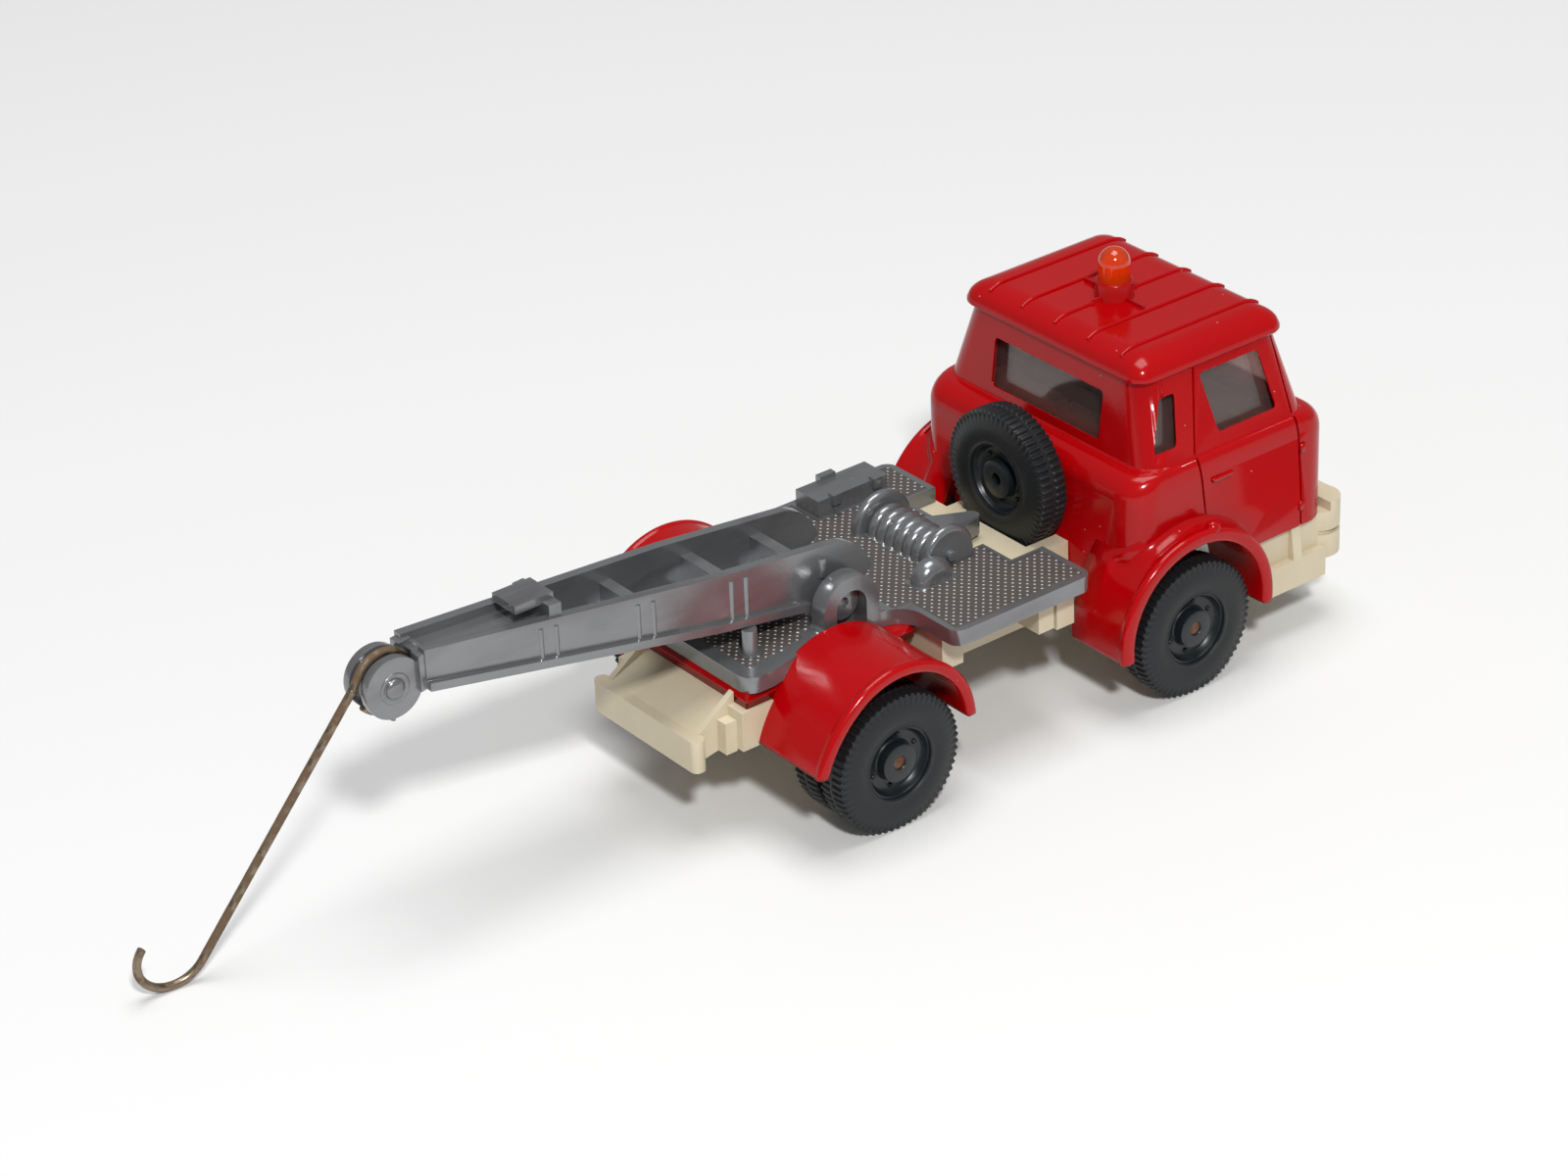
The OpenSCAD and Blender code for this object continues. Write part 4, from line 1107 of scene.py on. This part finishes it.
    def shell(self) -> Solid:
        """The cab's closed shell: up the outside, over the roof, and down the inside."""
        outside = plan_rings(np.concatenate([self.levels(0.0), self.crown()]), 9)
        inside = plan_rings(self.levels(self.wall)[::-1], 9)
        rows, cols = outside.shape[:2]
        rings = np.concatenate([outside, inside])
        faces = grid_faces(len(rings), cols, close_rows=True, close_cols=True)
        faces = faces[(faces.min(axis=1) // cols != rows - 1) | (faces.max(axis=1) // cols != rows)]
        caps = [list(range((rows - 1) * cols, rows * cols)), list(range(rows * cols, (rows + 1) * cols))]
        return Solid(rings.reshape(-1, 3), faces.tolist() + caps)

    def flared(self, outline: np.ndarray, depth: float) -> list[tuple[np.ndarray, float]]:
        """Rings of a cutter from its inner end outwards.

        A cutter that only sinks a frame keeps its outline. One that goes through the wall is wider
        inside, below and on the sides that have room for it, so that the edge of the opening is thin.

        Args:
            outline: (n, 2) points.
            depth: how deep it cuts, in millimetres.
        Returns:
            The outline of each ring, and how far the ring is outside the wall.
        """
        if depth < self.wall:
            return [(outline, -depth), (outline, 1.5)]
        middle = outline.mean(axis=0)
        ahead = outline[:, 0] > middle[0]
        across = np.where(ahead, 1.0, 0.0 if middle[0] > self.rear_x else -1.0)
        below = np.where(outline[:, 1] < middle[1], -1.0, 0.0)
        wide = outline + self.flare * np.stack([across, below], axis=1)
        return [(wide, -depth), (wide, -self.wall), (outline, -self.pane_edge), (outline, 1.5)]

    def through(self, outline: np.ndarray, depth: float, wall: np.ndarray, out: float,
                order: list[int]) -> Solid:
        """A cutter through a wall: its rings follow the wall's lean at both ends.

        Args:
            outline: (n, 2) points, along the wall and up.
            depth: how deep it cuts, in millimetres.
            wall: the wall's place at each point.
            out: 1 where the wall's place grows outwards, else -1.
            order: which of the wall's place, the outline's first and its second are x, y and z.
        Returns:
            The cutter.
        """
        rings = [np.stack([wall + out * level, path[:, 0], path[:, 1]], axis=1)[:, order]
                 for path, level in self.flared(outline, depth)]
        return stacked_rings(np.stack(rings))

    def through_side(self, outline: np.ndarray, depth: float) -> list[Solid]:
        """Cutters through both side walls, for an outline in x and z."""
        return both_sides([self.through(outline, depth, self.side_y(outline[:, 1]), 1.0, [1, 0, 2])])

    def through_end(self, outline: np.ndarray, depth: float, front: bool) -> Solid:
        """A cutter through the front or the rear wall, for an outline in y and z."""
        wall = self.end_x(outline[:, 1], front)
        return self.through(outline, depth, wall, 1.0 if front else -1.0, [0, 1, 2])

    def seam(self, path: np.ndarray, depth: float) -> list[Solid]:
        """Cutters for a seam of both sides: narrow slots that follow a path in x and z.

        Args:
            path: (n, 2) points from the lower end up.
            depth: of the slots.
        Returns:
            The two cutters.
        """
        wall = self.side_y(path[:, 1])[:, None]
        x = path[:, :1] + self.seam_w * np.array([-0.5, 0.5, 0.5, -0.5])
        y = wall + np.array([-depth, -depth, 1.0, 1.0])
        return both_sides([stacked_rings(np.stack([x, y, path[:, 1:] + 0 * x], axis=-1))])

    def windows(self) -> tuple[list[Solid], list[Solid]]:
        """Cutters for the frames round the windows, and for the openings in them."""
        low, high, mid = self.belt_z + 1.1, self.roof_z - 1.1, self.rear_x + 8.55
        door = np.array([[mid + 0.8, low], [self.front_x - 5.1, low],
                         [self.front_x - 5.9, high], [mid, high]])
        quarter = np.array([[self.rear_x + 3.1, low + 0.2], [self.rear_x + 5.15, low + 0.2],
                            [self.rear_x + 5.9, high - 0.65], [self.rear_x + 4.4, high - 0.65]])
        rear = np.array([[-6.2, self.belt_z + 0.85], [6.2, self.belt_z + 0.85],
                         [6.2, self.roof_z - 2.1], [-6.2, self.roof_z - 2.1]])
        screen = np.array([[-10.2, self.belt_z + 0.9], [10.2, self.belt_z + 0.9],
                           [8.9, self.roof_z - 1.1], [-8.9, self.roof_z - 1.1]])
        frames, openings = [], []
        sunk, through = 0.1, 2.5
        for shape, margin in ((door, 0.25), (quarter, 0.42)):
            frames += self.through_side(rounded_outline(grown(shape, margin), 0.5), sunk)
            openings += self.through_side(rounded_outline(shape, 0.4), through)
        for shape, front in ((rear, False), (screen, True)):
            frames.append(self.through_end(rounded_outline(grown(shape, 0.42), 0.45), sunk, front))
            openings.append(self.through_end(rounded_outline(shape, 0.4), through, front))
        return frames, openings

    def seams(self) -> list[Solid]:
        """Cutters for the seams of both doors."""
        high = np.linspace(self.belt_z + 0.2, self.roof_z - self.lip_h - 0.05, 4)
        low = np.concatenate([np.linspace(9.0, 16.8, 4), self.belt_z - self.shoulder_h * (
            1 - np.sin(np.linspace(0, np.pi / 2, 7)))])
        cuts = []
        for bottom, belt, top, depth in ((self.rear_x + 7.5, self.rear_x + 6.6, self.rear_x + 8.2, 0.3),
                                         (self.front_x - 3.2, self.front_x - 3.7, self.front_x - 4.2, 0.6)):
            share = (high - self.belt_z) / (self.roof_z - self.belt_z)
            above = np.stack([belt + (top - belt) * share, high], axis=1)
            share = np.clip((low - 12.0) / (self.belt_z - 12.0), 0, 1)
            below = np.stack([bottom + (belt - bottom) * share, low], axis=1)
            cuts += self.seam(above, depth) + self.seam(below, 0.3)
        return cuts

    def arches(self) -> list[Solid]:
        """Cutters for the wheel arches: cylinders that end inside the fenders' thickness."""
        turn = full_turn(72)
        size = self.arch_r + self.fender_t / 2
        ring = np.stack([self.arch_x + size * np.cos(turn), 0 * turn,
                         self.arch_z + size * np.sin(turn)], axis=1)
        past_y = self.fender_y + 1.55
        return both_sides([stacked_rings(ring + np.outer([self.fender_in_y, past_y], LEFTWARD)[:, None])])

    def corner_y(self, x: np.ndarray) -> np.ndarray:
        """Half the body's width along its length: full, and round at the rear corner."""
        radius = self.corner_r
        short = np.clip(self.rear_x + radius - x, 0, radius * 0.97)
        return self.half_w - radius + np.sqrt(radius ** 2 - short ** 2)

    def fender(self) -> Solid:
        """The left fender: a band round the arch that runs up into the body with a hollow curve.

        The hollow is a quarter circle that starts on the body's own side, also where that rounds
        the rear corner, and its height falls to nothing towards both feet of the arch.
        """
        outer = self.arch_r + self.fender_t
        angle = np.linspace(math.radians(-7), math.radians(187), 110)
        front = np.clip((np.sin(angle) - 0.25) / 0.45, 0, 1)
        rear = np.clip((math.radians(158) - angle) / math.radians(50), 0, 1)
        fade = np.where(angle > np.pi / 2, rear, front)
        height = self.hollow_h * fade * fade * (3 - 2 * fade)
        start = self.corner_y(self.arch_x + outer * np.cos(angle)) - 0.3
        return arch_band((self.arch_x, self.arch_z), angle, (self.arch_r, outer),
                         (self.fender_in_y, self.fender_y), start, height)

    def top_at(self, x: np.ndarray) -> np.ndarray:
        """Height of the roof along its middle."""
        u = np.minimum(x - self.roof_rear_x, self.roof_front_x - x) - 0.06
        share = np.clip(1 - u / self.crown_edge, 0, 1)
        return self.roof_z + self.crown_h * np.sqrt(1 - share ** 2)

    def roof_trim(self) -> list[Solid]:
        """Five ribs along the roof, two crossed fins and the beacon's socket."""
        swing = (1 - np.cos(np.linspace(0, np.pi, 40))) / 2
        x = self.roof_rear_x + 0.75 + (self.roof_front_x - self.roof_rear_x - 1.3) * swing
        trim = []
        for y in np.linspace(-0.725, 0.725, 5) * self.roof_half_w:
            path = np.stack([x, np.full_like(x, y), self.top_at(x) + 0.02], axis=1)
            trim.append(rod(path, LEFTWARD, self.rib_r, 10))
        top, thin = self.roof_z + self.crown_h, self.fin_half_t
        for x, y in ((self.fin_reach[0], thin), (thin, self.fin_reach[1])):
            trim.append(block((self.beacon_x - x, -y, top - 0.2), (self.beacon_x + x, y, top + self.fin_h)))
        size = self.beacon_r + 0.22
        profile = np.array([[-0.3, size + 0.12], [0.0, size + 0.1], [0.12, size + 0.02], [1.22, size],
                            [1.36, size - 0.06], [1.4, size - 0.2], [1.36, self.beacon_r - 0.02],
                            [0.3, self.beacon_r - 0.04]])
        return trim + [turned(profile, np.array([self.beacon_x, 0, top]), UPWARD, AHEAD, 40)]

    def side_trim(self) -> list[Solid]:
        """Handle, hinges and indicator of the left side."""
        y = self.half_w
        (start, end), (low, high) = self.handle_x, self.handle_z
        trim = [block((start, y - 0.3, low), (end, y + 0.2, high), 0.1)]
        start, end = self.hinge_x
        for z in self.hinge_z:
            trim.append(block((start, y - 0.2, z), (end, y + 0.18, z + self.hinge_h), 0.12))
        up = np.linspace(0.0, np.pi / 2 * 0.96, 7)
        path = np.stack([np.full(7, self.arch_x + 1.7), np.full(7, self.fender_y - 0.62),
                         self.arch_z + self.arch_r + self.fender_t - 0.35 + 0.75 * np.sin(up)], axis=1)
        return trim + [rod(path, LEFTWARD, 0.62 * np.cos(up), 20)]

    def face_trim(self) -> list[Solid]:
        """Grille bars and two headlights with raised rings on the front."""
        x = self.front_x
        half = self.bar_half_w
        bars = [block((x - 0.2, -half, z), (x + 0.24, half, z + 0.6), 0.1) for z in self.bars_z]
        turn = np.linspace(0, np.pi / 2, 7)
        profile = np.concatenate([[[-0.2, 1.5], [0.3, 1.5], [0.42, 1.42], [0.42, 1.3], [0.25, 1.22]],
                                  np.stack([0.2 + 0.22 * np.sin(turn), 1.18 * np.cos(turn) + 0.01], axis=1)])
        return bars + [turned(profile, np.array([x, y, self.light_z]), AHEAD, LEFTWARD, 32)
                       for y in (-self.light_y, self.light_y)]

    def build(self) -> None:
        """Carves the shell, adds the fenders and trim, and puts the cab on the truck."""
        frames, openings = self.windows()
        work = carve(self.shell(), [frames, openings, self.seams(), self.arches()], "cab_shell_work", 0.06)
        ends = np.array([[self.rear_x - 1.7, 0, self.peg_z], [self.rear_x + 0.4, 0, self.peg_z]])
        sides = both_sides([self.fender()] + self.side_trim())
        rest = sides + self.roof_trim() + self.face_trim() + [rod(ends, LEFTWARD, self.peg_r, 24)]
        extra = joined(rest).mesh("cab_trim_work")
        work.from_mesh(extra)
        bpy.data.meshes.remove(extra)
        bmesh.ops.scale(work, vec=[MM] * 3, verts=work.verts)
        bmesh.ops.translate(work, vec=(REAR_AXLE_X, 0, 0), verts=work.verts)
        place(finished(work, "cab_moulding"), "truck", "red_plastic", RED, "cab_shell")


# ------------------------------------------------------------------ bodies


# Mouldings whose shape is the CAD node's: body, slot, finish and the rounding of their edges
ROUNDED = {
    "chassis": ("truck", "cream_plastic", CREAM, 0.1),
    "deck_plate": ("truck", "grey_plastic", FLAKE, 0.12),
    "boom": ("boom", "grey_plastic", FLAKE, 0.1),
    "cab_interior": ("truck", "beige_plastic", BEIGE, 0.12),
}
# CAD nodes whose shape is already right
KEPT = {"cab_glazing": WINDOW, "steering_wheel": DARK, "boom_sheave": FLAKE, "tow_hook": WIRE,
        "front_axle": AXLE, "rear_axle": AXLE, "beacon_lens": ORANGE}


def build_cad_pieces() -> None:
    """Rounds the edges of some CAD nodes in new pieces, and dresses the nodes that stay."""
    for node, (body, slot, finish, edge) in ROUNDED.items():
        place(softened_copy(node, node + "_moulding", edge), body, slot, finish, node)
    for node, finish in KEPT.items():
        dress(frame["nodes"][node], finish)
        LOG.info("%s keeps its shape", node)


def all_wheels() -> list[Wheel]:
    """The six road wheels and the spare, with their places.

    Returns:
        The wheels, outer face outwards.
    """
    outer_y, inner_y, axle_z = 12.7, 9.6, Wheel.tyre_r
    wheels = []
    for side in Side:
        hand = side.name.lower()
        for name, body, x, y in ((f"front_{hand}", "front_wheels", Cab.arch_x, outer_y),
                                 (f"rear_{hand}_outer", "rear_wheels", 0.0, outer_y),
                                 (f"rear_{hand}_inner", "rear_wheels", 0.0, inner_y)):
            wheels.append(Wheel(name, body, (x, side.value * y, axle_z), (0.0, float(side.value), 0.0)))
    return wheels + [Wheel("spare", "truck", (22.4, 0.0, Cab.peg_z), (-1.0, 0.0, 0.0))]


@dataclass
class BoomTip:
    """The pin through the boom's tip, with a domed head on a low ring at each end, and a gate mark."""

    reach: float = 1.45
    head_r: float = 0.78
    ring_r: float = 1.2

    def head(self, tip: np.ndarray, side: int) -> Solid:
        """A low ring and a dome on it: the radius is the head's times the cosine of the rise."""
        rise = np.linspace(0, np.pi / 2 * 0.97, 8)
        profile = np.concatenate([[[-0.3, self.ring_r], [0.02, self.ring_r], [0.07, self.ring_r - 0.07],
                                   [0.07, self.head_r + 0.16], [0.0, self.head_r + 0.06],
                                   [0.02, self.head_r]],
                                  np.stack([0.04 + 0.34 * np.sin(rise), self.head_r * np.cos(rise)], axis=1)])
        return turned(profile, tip + side * self.reach * LEFTWARD, side * LEFTWARD, AHEAD, 40)

    def build(self) -> None:
        """Makes the pin's two heads and the gate mark under the right cheek."""
        low, high = (np.array(corner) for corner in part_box("sheave_pin"))
        tip = ((low + high) / 2 - [REAR_AXLE_X, 0, 0]) / MM
        shaft = rod(tip + np.outer([-self.reach, self.reach], LEFTWARD), AHEAD, 0.59, 32)
        gate = rod(tip + np.array([[-0.1, -1.1, -2.2], [-0.2, -1.1, -2.6]]), LEFTWARD, 0.2, 10)
        piece = moulding([self.head(tip, 1), self.head(tip, -1), shaft, gate], "boom_tip_pin")
        place(piece, "boom", "grey_plastic", FLAKE, "sheave_pin")


# ------------------------------------------------------------------ studio


@dataclass
class Studio:
    """A pale table, soft lights, and the camera behind the truck on its right side."""

    azimuth: float = -37.0
    elevation: float = 29.47
    roll: float = -2.47
    target: tuple[float, float, float] = (7.44, 9.05, 7.72)
    distance: float = 345.04
    lens: float = 103.26

    def camera(self) -> None:
        """Makes the camera: it looks at the target from the azimuth and elevation, then rolls."""
        a, e, r = (math.radians(v) for v in (self.azimuth, self.elevation, self.roll))
        back = Vector((math.sin(a) * math.cos(e), -math.cos(a) * math.cos(e), math.sin(e)))
        right = Vector((math.cos(a), math.sin(a), 0.0))
        up = back.cross(right)
        across = right * math.cos(r) + up * math.sin(r)
        upward = up * math.cos(r) - right * math.sin(r)
        at = Vector(to_model(np.array(self.target))) + back * self.distance * MM
        data = bpy.data.cameras.new("camera")
        data.lens = self.lens
        data.sensor_width = 36.0
        data.clip_start = 0.01
        camera = bpy.data.objects.new("camera", data)
        camera.matrix_world = Matrix(((across[0], upward[0], back[0], at[0]),
                                      (across[1], upward[1], back[1], at[1]),
                                      (across[2], upward[2], back[2], at[2]), (0, 0, 0, 1)))
        bpy.context.scene.collection.objects.link(camera)
        bpy.context.scene.camera = camera

    def floor(self) -> None:
        """Makes the pale floor."""
        mat = bpy.data.materials.new("white_card")
        mat.use_nodes = True
        shader = mat.node_tree.nodes["Principled BSDF"]
        shader.inputs["Base Color"].default_value = linear("E9E9E8")
        shader.inputs["Roughness"].default_value = 0.55
        size = 3.0
        points = np.array([[-size, -size, 0], [size, -size, 0], [size, size, 0], [-size, size, 0]])
        floor = mesh_piece("floor", points, np.array([[0, 1, 2, 3]]), outward=False)
        floor.data.materials.append(mat)

    def light(self, name: str, at: tuple[float, float, float], size: float, power: float) -> None:
        """Adds one square soft light that faces the truck.

        Args:
            name: the light's name.
            at: its place in metres.
            size: the side of the square in metres.
            power: watts.
        """
        data = bpy.data.lights.new(name, "AREA")
        data.size = size
        data.energy = power
        lamp = bpy.data.objects.new(name, data)
        lamp.location = at
        lamp.rotation_euler = (-Vector(at)).to_track_quat("-Z", "Y").to_euler()
        bpy.context.scene.collection.objects.link(lamp)

    def build(self) -> None:
        """Sets up the camera, floor, lights and world."""
        self.camera()
        self.floor()
        self.light("ceiling_light", (0.05, 0.0, 0.80), 0.45, 3.4)
        self.light("lamp", (-0.26, -0.50, 0.57), 0.07, 4.2)
        world = bpy.data.worlds.new("white_room")
        world.use_nodes = True
        world.node_tree.nodes["Background"].inputs["Color"].default_value = linear("F7F9FB")
        world.node_tree.nodes["Background"].inputs["Strength"].default_value = 0.29
        bpy.context.scene.world = world
        bpy.context.scene.view_settings.view_transform = "Standard"


def main() -> None:
    """Builds the studio and the truck."""
    logging.basicConfig(level=logging.INFO, format="%(message)s")
    Studio().build()
    Cab().build()
    Mudguards().build()
    BoomTip().build()
    build_cad_pieces()
    for wheel in all_wheels():
        wheel.build()
    DeckNubs().build()


if __name__ == "__main__":
    main()
